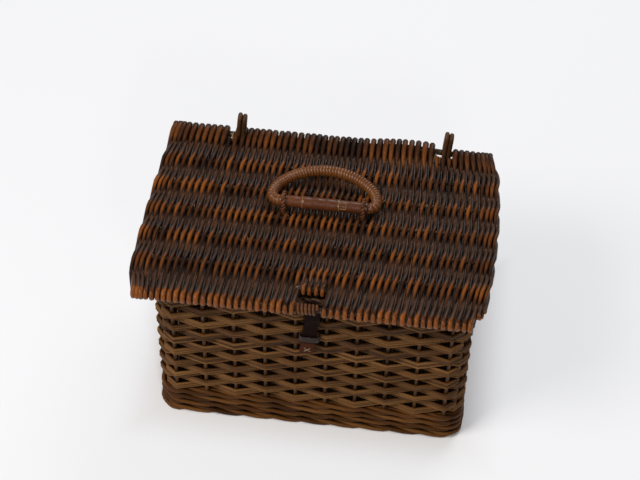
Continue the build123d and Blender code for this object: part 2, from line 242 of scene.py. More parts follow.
def new_material(name: str) -> tuple[Material, NodeNet, bpy.types.Node]:
    """Start a node material.

    Args:
        name: Its name.

    Returns:
        The material, its node net and its surface shader.
    """
    material = bpy.data.materials.new(name)
    material.use_nodes = True
    return material, NodeNet(material.node_tree), material.node_tree.nodes["Principled BSDF"]


@dataclass(frozen=True)
class WillowFinish:
    """Aged willow or cane: dark and light rods, streaks along them, worn crests, painted sheen on faces that
    lean to the back, painted light on faces turned to the front and painted shade in the hollows between
    rods.

    Attributes:
        name: Name of the material.
        dark: Colour of the darkest rods.
        middle: Colour of most rods.
        light: Colour of the lightest rods.
        worn_and_lit: Colour where hands have rubbed the crests, also painted light on faces turned to the
            front.
        crest_low: Height in millimetres where wear starts.
        crest_high: Height where it is full.
        worn_and_lit_share: How much of that worn and painted lit colour shows at most.
        back_sheen: Painted sheen, a pale grey-brown on the faces that lean to the back, standing in for the
            reflection of a light behind.
        back_sheen_share: How much of that painted sheen shows at most.
        rough_low: Least roughness.
        rough_high: Most roughness.
        bump: Strength of the grain.
        shine: Strength of the sheen.
        speck_share: How much of the pale specks of dirt shows.
        speck: Colour of those specks.
        hollow_shade: How dark the painted shade in the hollows between rods is, 1 for none.
        hollow_shade_reach: Reach in millimetres within which a neighbouring rod makes that painted shade.
        back_edge: Places in millimetres where the wear of the back edge is least and where it is full.
        streak_scale: Fineness of the streaks along a rod, per metre.
        mottle_scale: Fineness of the grain, per metre.
        patch_scale: Fineness of large patches, per metre.
        speck_scale: Fineness of the specks, per metre.
        grain_depth: Depth of the grain in millimetres.
    """

    name: str
    dark: Triple
    middle: Triple
    light: Triple
    worn_and_lit: Triple = (0.2, 0.06, 0.015)
    crest_low: float = 212.0
    crest_high: float = 215.2
    worn_and_lit_share: float = 0.0
    back_sheen: Triple = (0.07, 0.05, 0.05)
    back_sheen_share: float = 0.0
    rough_low: float = 0.34
    rough_high: float = 0.56
    bump: float = 0.35
    shine: float = 0.2
    speck_share: float = 0.0
    speck: Triple = (0.26, 0.19, 0.11)
    hollow_shade: float = 0.4
    hollow_shade_reach: float = 5.0
    back_edge: Pair = (112.0, 85.0)
    streak_scale: float = 28.0
    mottle_scale: float = 420.0
    patch_scale: float = 22.0
    speck_scale: float = 260.0
    grain_depth: float = 0.4

    def build(self) -> Material:
        """Make the material.

        Returns:
            The willow material.
        """
        material, net, shader = new_material(self.name)
        given = net.add("ShaderNodeTexCoord").outputs
        place = given["Object"]
        tone = net.add("ShaderNodeAttribute", attribute_name=Mark.TONE.value).outputs["Fac"]
        along = net.add("ShaderNodeAttribute", attribute_name=Mark.ALONG.value).outputs["Fac"]
        way = net.add("ShaderNodeCombineXYZ", {0: along, 1: net.times(tone, TONES_APART)}).outputs[0]
        streak = net.noise(way, self.streak_scale, detail=3.0)
        mottle = net.noise(place, self.mottle_scale, detail=4.0)
        patch = net.noise(place, self.patch_scale, detail=2.0)
        shade = net.plus(net.times(tone, TONE_SHIFT), net.times(streak, STREAK_SHIFT))
        shade = net.plus(shade, net.times(net.math("SUBTRACT", patch, PATCH_MIDDLE), PATCH_SHIFT))
        colour = net.ramp(shade, list(zip(SHADE_PLACES, (self.dark, self.middle, self.light))))
        lean = net.add("ShaderNodeSeparateXYZ", {0: given["Normal"]}).outputs[1]
        # Painted sheen: faces that lean to the back take a pale grey-brown, standing in for the reflection of
        # a light behind them.
        if self.back_sheen_share:
            back = net.times(net.span(lean, *SHEEN_LEAN), self.back_sheen_share)
            colour = net.mix(back, colour, (*self.back_sheen, 1.0))
        # Worn crests and front edge, partly painted light on faces turned to the front.
        if self.worn_and_lit_share:
            ragged = net.span(net.plus(streak, net.times(tone, TONE_SHIFT)), *RAGGED_TONES)
            worn_and_lit = self._wear_and_light(net, place, lean, patch, ragged)
            colour = net.mix(worn_and_lit, colour, (*self.worn_and_lit, 1.0))
        if self.speck_share:
            speck = net.span(net.noise(place, self.speck_scale, detail=3.0), *SPECKED_SPOTS)
            colour = net.mix(net.times(speck, self.speck_share), colour, (*self.speck, 1.0))
        # Painted shade: an ambient occlusion node darkens the colour where other rods are near, standing in
        # for the shade in the hollows between them.
        feeds = {"Distance": self.hollow_shade_reach * MM}
        near = net.add("ShaderNodeAmbientOcclusion", feeds, samples=8, only_local=True).outputs["AO"]
        unshaded = net.remap(near, SHADE_OPENNESS, self.hollow_shade, 1.0)
        grain = net.times(net.raised(mottle, *GRAIN_SHADE), unshaded)
        grain_and_shade = net.add("ShaderNodeCombineColor", {0: grain, 1: grain, 2: grain}).outputs[0]
        colour = net.mix(1.0, colour, grain_and_shade, "MULTIPLY")
        rough = net.remap(mottle, ROUGH_SPOTS, self.rough_low, self.rough_high)
        height = net.plus(mottle, net.times(streak, STREAK_RELIEF))
        bump = net.bump(height, self.bump, self.grain_depth)
        net.feed(shader, {"Base Color": colour, "Roughness": rough, "Normal": bump})
        net.feed(shader, {"Specular IOR Level": self.shine})
        return material

    def _wear_and_light(self, net: NodeNet, place: Socket, lean: Socket, patch: Socket, ragged: Socket) -> Socket:
        """Work out where the rods are rubbed: on the crests, less at the back edge, and evenly at the front;
        faces turned to the front take more of it, a painted light from the front.

        Args:
            net: Net of the material.
            place: Place on the object.
            lean: How far a face leans to the back.
            patch: Large patches.
            ragged: Share that differs from rod to rod.

        Returns:
            The share of the worn and painted lit colour.
        """
        spot = net.add("ShaderNodeSeparateXYZ", {0: place}).outputs
        # Crests that face the front, and front faces at the edge, take the colour most: painted front light
        # on top of the wear.
        crest = net.span(spot[2], self.crest_low * MM, self.crest_high * MM)
        dark_edge, worn_edge = self.back_edge
        for share in (
            net.span(lean, *CREST_LIT_LEAN),
            net.raised(net.span(patch, *RUBBED_PATCHES), *PATCH_WEAR),
            net.raised(net.span(spot[1], dark_edge * MM, worn_edge * MM), *BACK_WEAR),
            ragged,
        ):
            crest = net.times(crest, share)
        edge = net.raised(ragged, *EDGE_WEAR_AND_LIGHT)
        edge = net.times(edge, net.span(lean, *EDGE_LIT_LEAN))
        return net.times(net.math("MAXIMUM", crest, edge), self.worn_and_lit_share)


@dataclass(frozen=True)
class LeatherFinish:
    """Worn leather with a fine grain, lighter below a height where it has been rubbed.

    Attributes:
        name: Name of the material.
        colour: Main colour.
        scuff: Colour of scuffs.
        tip: Colour below the tip height.
        tip_low: Height in millimetres where the tip colour is full.
        tip_high: Height where it ends.
        rough: Roughness.
        shine: Strength of the sheen.
        bump: Strength of the grain.
        scuff_scale: Fineness of the scuffs, per metre.
        grain_scale: Fineness of the grain, per metre.
        grain_depth: Depth of the grain in millimetres.
    """

    name: str
    colour: Triple
    scuff: Triple
    tip: Triple
    tip_low: float = 142.0
    tip_high: float = 146.0
    rough: float = 0.6
    shine: float = 0.06
    bump: float = 0.3
    scuff_scale: float = 160.0
    grain_scale: float = 900.0
    grain_depth: float = 0.3

    def build(self) -> Material:
        """Make the material.

        Returns:
            The leather material.
        """
        material, net, shader = new_material(self.name)
        place = net.add("ShaderNodeTexCoord").outputs["Object"]
        patch = net.noise(place, self.scuff_scale, detail=4.0)
        feeds = {"Vector": place, "Scale": self.grain_scale, "Randomness": 1.0}
        grain = net.add("ShaderNodeTexVoronoi", feeds, feature="DISTANCE_TO_EDGE").outputs[0]
        colour = net.mix(net.span(patch, *SCUFFED_PATCHES), (*self.colour, 1.0), (*self.scuff, 1.0))
        height = net.add("ShaderNodeSeparateXYZ", {0: place}).outputs[2]
        rubbed = net.span(height, self.tip_high * MM, self.tip_low * MM)
        colour = net.mix(rubbed, colour, (*self.tip, 1.0))
        bump = net.bump(grain, self.bump, self.grain_depth)
        net.feed(shader, {"Base Color": colour, "Normal": bump})
        net.feed(shader, {"Roughness": self.rough, "Specular IOR Level": self.shine})
        return material


@dataclass(frozen=True)
class FloorFinish:
    """Pale floor that glows where it is seen, a painted light that lightens its shadow away from the basket.

    Attributes:
        name: Name of the material.
        colour: Its colour.
        glow: Colour that lightens the shadow where the floor is seen.
        glow_share: How much of it shows.
        rough: Roughness.
        shine: Strength of the sheen.
        middle: Middle of the basket's footprint in millimetres.
        half: Half of the footprint, in which there is no glow.
        clear_run: Distance from it at which the glow is full.
    """

    name: str = "pale floor"
    colour: Triple = (0.93, 0.92, 0.925)
    glow: Triple = (0.93, 0.938, 0.96)
    glow_share: float = 0.62
    rough: float = 0.9
    shine: float = 0.1
    middle: Pair = (2.0, 9.0)
    half: Pair = (155.0, 104.0)
    clear_run: float = 60.0

    def build(self) -> Material:
        """Make the material.

        Returns:
            The floor material.
        """
        material, net, shader = new_material(self.name)
        net.feed(shader, {"Base Color": (*self.colour, 1.0), "Roughness": self.rough})
        net.feed(shader, {"Specular IOR Level": self.shine})
        # Painted light: seen by the camera or in reflections, the floor glows, lightening its shadow except
        # near the basket.
        rays = net.add("ShaderNodeLightPath").outputs
        seen = net.math("MAXIMUM", rays["Is Camera Ray"], rays["Is Glossy Ray"])
        seen = net.math("MAXIMUM", seen, rays["Is Transmission Ray"])
        place = net.add("ShaderNodeSeparateXYZ", {0: net.add("ShaderNodeTexCoord").outputs["Object"]}).outputs
        past = []
        for spot, middle, half in zip(place, self.middle, self.half):
            away = net.math("ABSOLUTE", net.math("SUBTRACT", spot, middle * MM))
            past.append(net.math("SUBTRACT", away, half * MM))
        clear = net.span(net.math("MAXIMUM", *past), 0.0, self.clear_run * MM)
        share = net.times(net.times(seen, clear), self.glow_share)
        glow = net.add("ShaderNodeEmission", {"Color": (*self.glow, 1.0), "Strength": 1.0}).outputs[0]
        both = net.add("ShaderNodeMixShader", {0: share, 1: shader.outputs[0], 2: glow}).outputs[0]
        net.feed(net.tree.nodes["Material Output"], {"Surface": both})
        return material


def add_object(name: str, data: bpy.types.ID) -> bpy.types.Object:
    """Add an object to the scene.

    Args:
        name: Its name.
        data: Its mesh, light or camera.

    Returns:
        The object.
    """
    made = bpy.data.objects.new(name, data)
    bpy.context.scene.collection.objects.link(made)
    return made


class RodTree:
    """Geometry Nodes tree that turns lines into round rods, straight or wound about their line."""

    def __init__(self) -> None:
        """Build the tree once for all rods."""
        self.tree = bpy.data.node_groups.new("rods", "GeometryNodeTree")
        self.sockets: dict[str, str] = {}
        face = self.tree.interface
        face.new_socket(name="Geometry", in_out="OUTPUT", socket_type="NodeSocketGeometry")
        face.new_socket(name="Geometry", in_out="INPUT", socket_type="NodeSocketGeometry")
        for name, kind in (
            ("Sides", "NodeSocketInt"),
            ("Steps", "NodeSocketInt"),
            ("Seed", "NodeSocketInt"),
            ("Wind radius", "NodeSocketFloat"),
            ("Wind pitch", "NodeSocketFloat"),
            ("Wind step", "NodeSocketFloat"),
            ("Wound", "NodeSocketBool"),
            ("Material", "NodeSocketMaterial"),
        ):
            self.sockets[name] = face.new_socket(name=name, in_out="INPUT", socket_type=kind).identifier
        self._wire()

    def _wire(self) -> None:
        """Add and link the nodes."""
        net = NodeNet(self.tree)
        given = net.add("NodeGroupInput").outputs
        lines = net.add("GeometryNodeMeshToCurve", {0: given["Geometry"]}).outputs[0]
        lines = net.add("GeometryNodeCurveSplineType", {0: lines}, spline_type="CATMULL_ROM").outputs[0]
        feeds = {"Geometry": lines, "Resolution": given["Steps"]}
        lines = net.add("GeometryNodeSetSplineResolution", feeds).outputs[0]
        wound = self._wind(net, given, lines)
        switch = {"Switch": given["Wound"], "False": lines, "True": wound}
        lines = net.add("GeometryNodeSwitch", switch, input_type="GEOMETRY").outputs[0]
        index = net.add("GeometryNodeInputIndex").outputs[0]
        chance = net.add("FunctionNodeRandomValue", {"ID": index, "Seed": given["Seed"]}, data_type="FLOAT")
        tone = next(socket for socket in chance.outputs if socket.enabled)
        lines = self._store(net, lines, Mark.TONE, tone, "CURVE")
        length = net.add("GeometryNodeSplineParameter").outputs["Length"]
        lines = self._store(net, lines, Mark.ALONG, length, "POINT")
        thick = self._read(net, Mark.THICK)
        feeds = {"Resolution": given["Sides"], "Radius": 1.0}
        ring = net.add("GeometryNodeCurvePrimitiveCircle", feeds).outputs[0]
        feeds = {"Curve": lines, "Profile Curve": ring, "Scale": thick, "Fill Caps": True}
        rods = net.add("GeometryNodeCurveToMesh", feeds).outputs[0]
        rods = net.add("GeometryNodeSetShadeSmooth", {"Geometry": rods}).outputs[0]
        rods = net.add("GeometryNodeRealizeInstances", {"Geometry": rods}).outputs[0]
        feeds = {"Geometry": rods, "Material": given["Material"]}
        rods = net.add("GeometryNodeSetMaterial", feeds).outputs[0]
        net.add("NodeGroupOutput", {0: rods})

    def _read(self, net: NodeNet, mark: Mark) -> Socket:
        """Read an attribute of the lines."""
        feeds = {"Name": mark.value}
        return net.add("GeometryNodeInputNamedAttribute", feeds, data_type="FLOAT").outputs[0]

    def _store(self, net: NodeNet, lines: Socket, mark: Mark, value: Socket, domain: str) -> Socket:
        """Store an attribute on the lines."""
        feeds = {"Geometry": lines, "Name": mark.value, "Value": value}
        return net.add("GeometryNodeStoreNamedAttribute", feeds, data_type="FLOAT", domain=domain).outputs[0]

    def _wind(self, net: NodeNet, given: bpy.types.NodeOutputs, lines: Socket) -> Socket:
        """Wind each line about itself.

        Args:
            net: Net of the tree.
            given: Inputs of the tree.
            lines: The lines.

        Returns:
            The wound lines.
        """
        feeds = {"Curve": lines, "Length": given["Wind step"]}
        lines = net.add("GeometryNodeResampleCurve", feeds, mode="LENGTH").outputs[0]
        length = net.add("GeometryNodeSplineParameter").outputs["Length"]
        phase = self._read(net, Mark.PHASE)
        turns = net.plus(net.math("DIVIDE", length, given["Wind pitch"]), phase)
        angle = net.times(turns, 2 * math.pi)
        normal = net.add("GeometryNodeInputNormal").outputs[0]
        tangent = net.add("GeometryNodeInputTangent").outputs[0]
        feeds = {"Vector": normal, "Axis": tangent, "Angle": angle}
        aside = net.add("ShaderNodeVectorRotate", feeds, rotation_type="AXIS_ANGLE").outputs[0]
        feeds = {0: aside, "Scale": given["Wind radius"]}
        reach = net.add("ShaderNodeVectorMath", feeds, operation="SCALE").outputs[0]
        return net.add("GeometryNodeSetPosition", {"Geometry": lines, "Offset": reach}).outputs[0]

    def make(
        self,
        name: str,
        rods: list[Rod],
        material: Material,
        sides: int = 8,
        steps: int = 2,
        seed: int = 1,
        wind_radius: float = 0.0,
        wind_pitch: float = 1.0,
        wind_steps: int = 10,
    ) -> bpy.types.Object:
        """Make one piece of many rods.

        Args:
            name: Name of the piece.
            rods: Its rods.
            material: Its material.
            sides: Sides of a rod.
            steps: Straight steps between two points of a rod.
            seed: Seed of the tones.
            wind_radius: How far a wound rod lies from its line, or 0 for a plain rod.
            wind_pitch: Length of one turn.
            wind_steps: Straight steps in one turn.

        Returns:
            The piece as a plain mesh at the origin.
        """
        points: list[Vector] = []
        edges: list[tuple[int, int]] = []
        thick: list[float] = []
        phase: list[float] = []
        for rod in rods:
            first = len(points)
            points += [point * MM for point in rod.points]
            thick += [radius * MM for radius in rod.radii]
            phase += [rod.phase] * len(rod.points)
            edges += [(number, number + 1) for number in range(first, len(points) - 1)]
            if rod.closed:
                edges.append((len(points) - 1, first))
        mesh = bpy.data.meshes.new(name)
        mesh.from_pydata(points, edges, [])
        for mark, values in ((Mark.THICK, thick), (Mark.PHASE, phase)):
            mesh.attributes.new(mark.value, "FLOAT", "POINT").data.foreach_set("value", values)
        piece = add_object(name, mesh)
        maker = piece.modifiers.new("rods", "NODES")
        maker.node_group = self.tree
        for socket, value in (
            ("Sides", sides),
            ("Steps", steps),
            ("Seed", seed),
            ("Wind radius", wind_radius * MM),
            ("Wind pitch", wind_pitch * MM),
            ("Wind step", wind_pitch * MM / wind_steps),
            ("Wound", wind_radius > 0),
            ("Material", material),
        ):
            maker[self.sockets[socket]] = value
        graph = bpy.context.evaluated_depsgraph_get()
        dressed = piece.evaluated_get(graph)
        made = bpy.data.meshes.new_from_object(dressed, preserve_all_data_layers=True, depsgraph=graph)
        piece.modifiers.remove(maker)
        piece.data = made
        bpy.data.meshes.remove(mesh)
        made.name = name
        return piece


def settle(piece: bpy.types.Object, body: Body, nodes: list[str]) -> None:
    """Hand a finished piece to its body and report it.

    Args:
        piece: The piece.
        body: Body that it moves with.
        nodes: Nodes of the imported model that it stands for.
    """
    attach(piece, body.value)
    if nodes:
        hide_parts(*nodes)
    triangles = sum(len(face.vertices) - 2 for face in piece.data.polygons)
    LOG.info("%s: %d triangles on %s", piece.name, triangles, body.value)


def loft(name: str, rings: list[list[Vector]], material: Material) -> bpy.types.Object:
    """Make a closed smooth piece through a row of rings.

    Args:
        name: Name of the piece.
        rings: Rings with the same number of points, in millimetres.
        material: Its material.

    Returns:
        The piece.
    """
    work = bmesh.new()
    rows = [[work.verts.new(point * MM) for point in ring] for ring in rings]
    for near, far in zip(rows, rows[1:]):
        for place in range(len(near)):
            work.faces.new((near[place - 1], near[place], far[place], far[place - 1]))
    work.faces.new(rows[0])
    work.faces.new(rows[-1])
    bmesh.ops.recalc_face_normals(work, faces=work.faces)
    for face in work.faces:
        face.smooth = len(face.verts) == 4
    mesh = bpy.data.meshes.new(name)
    work.to_mesh(mesh)
    work.free()
    mesh.materials.append(material)
    return add_object(name, mesh)


@dataclass(frozen=True)
class WallPlan:
    """Plan of the wall: places of the stakes and the rounded corners.

    Attributes:
        middle_x: Middle of the wall from left to right.
        middle_y: Middle of the wall from front to back.
        half_width: Half of the width at the stakes.
        half_depth: Half of the depth at the stakes.
        bend: Radius of the corners.
        front_stakes: Stakes in the front or back wall.
        side_stakes: Stakes in a side wall.
        rim_level: Height of the rim.
    """

    middle_x: float = 2.45
    middle_y: float = 9.075
    half_width: float = 157.6
    half_depth: float = 106.6
    bend: float = 15.0
    front_stakes: int = 10
    side_stakes: int = 7
    rim_level: float = 200.5

    def stops(self) -> list[tuple[Vector, Vector, bool]]:
        """Stakes and corners in order round the wall.

        Returns:
            Place, outward direction and whether it is a stake.
        """
        stops = []
        middle = Vector((self.middle_x, self.middle_y, 0))
        for facing in (-90, 0, 90, 180):
            out = Vector((math.cos(math.radians(facing)), math.sin(math.radians(facing)), 0))
            aside = Vector((-out.y, out.x, 0))
            reach, straight, count = self.half_width, self.half_depth - self.bend, self.side_stakes
            if facing % 180:
                reach, straight, count = self.half_depth, self.half_width - self.bend, self.front_stakes
            for number in range(count):
                share = 2 * number / (count - 1) - 1
                stops.append((middle + out * reach + aside * straight * share, out, True))
            slant = (out + aside).normalized()
            corner = middle + out * (reach - self.bend) + aside * straight + slant * self.bend
            stops.append((corner, slant, False))
        return stops


@dataclass
class Walls:
    """Woven walls: foot rows, stakes, side rows and the rim.

    Attributes:
        plan: Plan of the wall.
        finish: Willow of the rows.
        foot_finish: Willow of the foot.
        stake_finish: Willow of the stakes and the rim.
        foot_height: Height of the foot.
        foot_rows: Number of foot rows.
        foot_radius: Half thickness of a foot rod.
        foot_swing: How far a foot rod lies from the stakes.
        foot_flare: How much further the lowest row lies out.
        row_count: Number of side rows.
        row_pitch: Height of a side row.
        row_swing: How far a side rod lies from the stakes.
        row_radius: Half thickness of a side rod.
        row_rods: Rods in a side row.
        stake_radius: Half thickness of a stake.
        rim_wind: How far a rim strand lies from the rim's axis.
        rim_radius: Half thickness of a rim strand.
        rim_strands: Strands of the rim.
        rim_pitch: Length of one turn of a rim strand.
        rod_pitch: Distance between the rods of a side row.
        run: Share of the way between two stakes where a side rod is straight again.
        foot_lift: How far a foot rod rises or falls in front of a stake.
        stake_levels: Heights at which a stake strays a little, below its top.
        stake_top: How far below the rim's axis a stake ends.
        stake_shares: Thickness of a stake at those heights and at its top, as shares.
        stake_stray: How far a stake strays to each side.
        row_shares: Least and most thickness of a side rod, as shares.
        along_shares: The same along one side rod.
        row_stray: How far a side rod strays up or down.
        swing_stray: How far it strays in or out.
        foot_shares: Least and most thickness along a foot rod, as shares.
        foot_stray: How far a foot rod strays up or down.
        chance: Source of small unevenness.
    """

    plan: WallPlan
    finish: Material
    foot_finish: Material
    stake_finish: Material
    foot_height: float = 37.0
    foot_rows: int = 4
    foot_radius: float = 2.25
    foot_swing: float = 2.95
    foot_flare: float = 1.2
    row_count: int = 16
    row_pitch: float = 9.7375
    row_swing: float = 4.45
    row_radius: float = 1.52
    row_rods: int = 3
    rod_pitch: float = 3.05
    stake_radius: float = 2.0
    rim_wind: float = 1.8
    rim_radius: float = 1.6
    rim_strands: int = 3
    rim_pitch: float = 34.0
    run: float = 0.26
    foot_lift: float = 2.1
    stake_levels: Triple = (2.5, 70.0, 130.0)
    stake_top: float = 1.0
    stake_shares: tuple[float, ...] = (1.03, 1.0, 1.0, 0.95)
    stake_stray: float = 0.3
    row_shares: Pair = (0.88, 1.04)
    along_shares: Pair = (0.94, 1.06)
    row_stray: float = 0.3
    swing_stray: float = 0.25
    foot_shares: Pair = (0.93, 1.0)
    foot_stray: float = 0.2
    chance: Uneven = field(default_factory=lambda: Uneven(7))

    def build(self, tree: RodTree) -> None:
        """Make the pieces of the walls.

        Args:
            tree: Tree that makes rods.
        """
        upright = self.stake_finish
        wind = {"wind_radius": self.rim_wind, "wind_pitch": self.rim_pitch, "wind_steps": 8}
        for name, rods, finish, slot, ending, shape in (
            ("side_weave", self._rows(), self.finish, "side_willow", "_siding", {"steps": 1, "seed": 3}),
            ("foot_wale", self._foot(), self.foot_finish, "side_willow", "_foot", {"steps": 3, "seed": 4}),
            ("wall_stakes", self._stakes(), upright, "stake_willow", "_stakes", {"steps": 1, "seed": 5}),
            ("rim_border", self._rim(), upright, "stake_willow", "_rim", {"seed": 6, **wind}),
        ):
            piece = tree.make(name, rods, finish, **shape)
            nodes = [side + ending for side in ("front", "right", "back", "left")]
            settle(piece, Body.BASKET, nodes)

    def _rows(self) -> list[Rod]:
        """Rods of the side rows.

        Returns:
            Closed rods that run in front of one stake and behind the next.
        """
        rods = []
        for row in range(self.row_count):
            level = self.foot_height + self.row_pitch * (row + 0.5)
            for layer in range(self.row_rods):
                radius = self.row_radius * self.chance.uniform(*self.row_shares)
                lift = (layer - (self.row_rods - 1) / 2) * self.rod_pitch
                bends = []
                stake = 0
                for place, out, is_stake in self.plan.stops():
                    swing = 0.0
                    if is_stake:
                        swing = self.row_swing if (stake + row) % 2 == 0 else -self.row_swing
                        swing += self.chance.stray(self.swing_stray)
                        stake += 1
                    rise = level + lift + self.chance.stray(self.row_stray)
                    bends.append(place + out * swing + Vector((0, 0, rise)))
                points = []
                for near, far in zip(bends, bends[1:] + bends[:1]):
                    points += [near, near.lerp(far, self.run), near.lerp(far, 1 - self.run)]
                radii = [radius * self.chance.uniform(*self.along_shares) for _ in points]
                rods.append(Rod(points, radii, closed=True))
        return rods

    def _foot(self) -> list[Rod]:
        """Rods of the foot rows.

        Returns:
            Three rods a row, each in front of two stakes and behind one.
        """
        rods = []
        pitch = self.foot_height / self.foot_rows
        stops = self.plan.stops()
        start = self.plan.front_stakes + self.plan.side_stakes + self.plan.front_stakes // 2
        stops = stops[start:] + stops[: start + 2]
        lifts = (0.0, self.foot_lift, -self.foot_lift)
        for row in range(self.foot_rows):
            level = pitch * (row + 0.5)
            outer = self.foot_swing + (self.foot_flare if row == 0 else 0.0)
            swings = (-self.foot_swing, outer, outer)
            for strand in range(3):
                points = []
                radii = []
                stake = 0
                for place, out, is_stake in stops:
                    turn = (stake + strand + row) % 3
                    if is_stake:
                        swing = swings[turn]
                        lift = lifts[turn]
                        stake += 1
                    else:
                        last = (turn - 1) % 3
                        swing = (swings[last] + swings[turn]) / 2
                        lift = (lifts[last] + lifts[turn]) / 2
                    rise = max(self.foot_radius, level + lift + self.chance.stray(self.foot_stray))
                    points.append(place + out * swing + Vector((0, 0, rise)))
                    radii.append(self.foot_radius * self.chance.uniform(*self.foot_shares))
                rods.append(Rod(points, radii))
        return rods

    def _stakes(self) -> list[Rod]:
        """Upright rods of the wall.

        Returns:
            One rod for each stake.
        """
        rods = []
        levels = [*self.stake_levels, self.plan.rim_level - self.stake_top]
        radii = [self.stake_radius * share for share in self.stake_shares]
        aside = self.stake_stray
        for place, _, is_stake in self.plan.stops():
            if not is_stake:
                continue
            points = []
            for level in levels:
                points.append(place + Vector((self.chance.stray(aside), self.chance.stray(aside), level)))
            rods.append(Rod(points, radii))
        return rods

    def _rim(self) -> list[Rod]:
        """Strands of the rim.

        Returns:
            Closed strands that wind about each other.
        """
        line = [place + Vector((0, 0, self.plan.rim_level)) for place, _, _ in self.plan.stops()]
        count = self.rim_strands
        return [Rod.even(line, self.rim_radius, True, strand / count) for strand in range(count)]


@dataclass
class Base:
    """Woven base on its sticks, held inside the foot.

    Attributes:
        plan: Plan of the wall.
        finish: Willow of the mat.
        stick_finish: Willow of the sticks.
        half_width: Half of the mat's width.
        half_depth: Half of the mat's depth.
        rod_count: Rods in the mat.
        rod_radius: Half thickness of a rod.
        rod_level: Height of the mat's middle.
        rod_swing: How far a rod rises and falls.
        stick_count: Sticks under the mat.
        stick_radius: Half thickness of a stick.
        stick_level: Height of the sticks.
        corner: Size of the mat's cut corners.
    """

    plan: WallPlan
    finish: Material
    stick_finish: Material
    half_width: float = 152.1
    half_depth: float = 101.1
    rod_count: int = 70
    rod_radius: float = 2.5
    rod_level: float = 11.0
    rod_swing: float = 1.0
    stick_count: int = 5
    stick_radius: float = 3.0
    stick_level: float = 4.2
    corner: float = 9.8

    def build(self, tree: RodTree) -> None:
        """Make the mat and its sticks.

        Args:
            tree: Tree that makes rods.
        """
        mat = tree.make("base_weave", self._mat(), self.finish, seed=8)
        settle(mat, Body.BASKET, ["base_mat"])
        sticks = tree.make("base_sticks", self._sticks(), self.stick_finish, sides=12, steps=1, seed=9)
        names = ["base_stick_" + str(number + 1) for number in range(self.stick_count)]
        settle(sticks, Body.BASKET, names)

    def _stick_places(self) -> list[float]:
        """Places of the sticks from front to back.

        Returns:
            Their distances along Y.
        """
        pitch = 2 * self.half_depth / self.stick_count
        front = self.plan.middle_y - self.half_depth
        return [front + pitch * (number + 0.5) for number in range(self.stick_count)]

    def _mat(self) -> list[Rod]:
        """Rods of the mat.

        Returns:
            Rods from front to back that rise and fall over the sticks.
        """
        rods = []
        pitch = (2 * self.half_width - 2 * self.rod_radius) / (self.rod_count - 1)
        for number in range(self.rod_count):
            x = self.plan.middle_x - self.half_width + self.rod_radius + pitch * number
            edge = self.half_width - abs(x - self.plan.middle_x)
            short = max(0.0, self.corner - edge)
            front = self.plan.middle_y - self.half_depth + short
            back = self.plan.middle_y + self.half_depth - short
            ways = [front, *self._stick_places(), back]
            points = []
            for stop, y in enumerate(ways):
                side = 1 if (stop + number) % 2 else -1
                points.append(Vector((x, y, self.rod_level + side * self.rod_swing)))
            rods.append(Rod.even(points, self.rod_radius))
        return rods

    def _sticks(self) -> list[Rod]:
        """Sticks under the mat.

        Returns:
            Rods from left to right.
        """
        ends = (self.plan.middle_x - self.half_width, self.plan.middle_x + self.half_width)
        rods = []
        for y in self._stick_places():
            points = [Vector((x, y, self.stick_level)) for x in (ends[0], sum(ends) / 2, ends[1])]
            rods.append(Rod.even(points, self.stick_radius))
        return rods


@dataclass(frozen=True)
class LidPlan:
    """Plan of the lid: its outer sticks, its uneven edges and the swelling of its back.

    Attributes:
        walls: Plan of the walls that it closes.
        level: Height of the sticks.
        front: Place of the front stick.
        back: Place of the back stick.
        front_radius: Half thickness of the front stick.
        back_radius: Half thickness of the back stick.
        left: Reaches of the left edge at the front, middle and back.
        right: Reaches of the right edge at the front, middle and back.
        corner_inset: How far the front left corner is drawn in.
        corner_run: Length of the drawn in corner from front to back.
        corner_share: Share of the width that is drawn in.
        round_inset: How far the back right corner is drawn in.
        round_run: Length of that corner from front to back.
        warp: Height of the swelling at the back edge.
        warp_x: Middle of the swelling.
        warp_half: Half of its width.
        warp_run: Where it starts and where it is full, from front to back.
    """

    walls: WallPlan
    level: float = 210.0
    front: float = -116.325
    back: float = 115.675
    front_radius: float = 2.75
    back_radius: float = 3.4
    left: Triple = (184.6, 183.3, 176.5)
    right: Triple = (170.0, 179.7, 172.6)
    corner_inset: float = 7.0
    corner_run: float = 26.0
    corner_share: float = 6 / 44
    round_inset: float = 8.0
    round_run: float = 30.0
    warp: float = 5.0
    warp_x: float = 82.0
    warp_half: float = 36.0
    warp_run: Pair = (66.0, 112.0)

    def edge_x(self, y: float, share: float) -> float:
        """Where a share of the lid's width lies at y.

        Args:
            y: Place from front to back.
            share: Share of the width from the left edge.

        Returns:
            The place from left to right.
        """
        way = (y - self.front) / (self.back - self.front)
        weights = ((1 - way) * (1 - 2 * way), 4 * way * (1 - way), way * (2 * way - 1))
        left = sum(weight * reach for weight, reach in zip(weights, self.left))
        right = sum(weight * reach for weight, reach in zip(weights, self.right))
        near_front = min(1.0, max(0.0, 1 - (y - self.front) / self.corner_run))
        drawn_in = self.corner_inset * near_front * max(0.0, 1 - share / self.corner_share)
        near_back = min(1.0, max(0.0, 1 - (self.back - y) / self.round_run)) ** 2
        drawn_in -= self.round_inset * near_back * max(0.0, 1 - (1 - share) / self.corner_share)
        return self.walls.middle_x - left + (left + right) * share + drawn_in

    def lift(self, x: float, y: float) -> float:
        """How far the swelling of the back edge raises the lid.

        Args:
            x: Place from left to right.
            y: Place from front to back.

        Returns:
            The rise.
        """
        start, full = self.warp_run
        way = min(1.0, max(0.0, (y - start) / (full - start)))
        swelling = math.exp(-(((x - self.warp_x) / self.warp_half) ** 2))
        return self.warp * swelling * way * way * (3 - 2 * way)


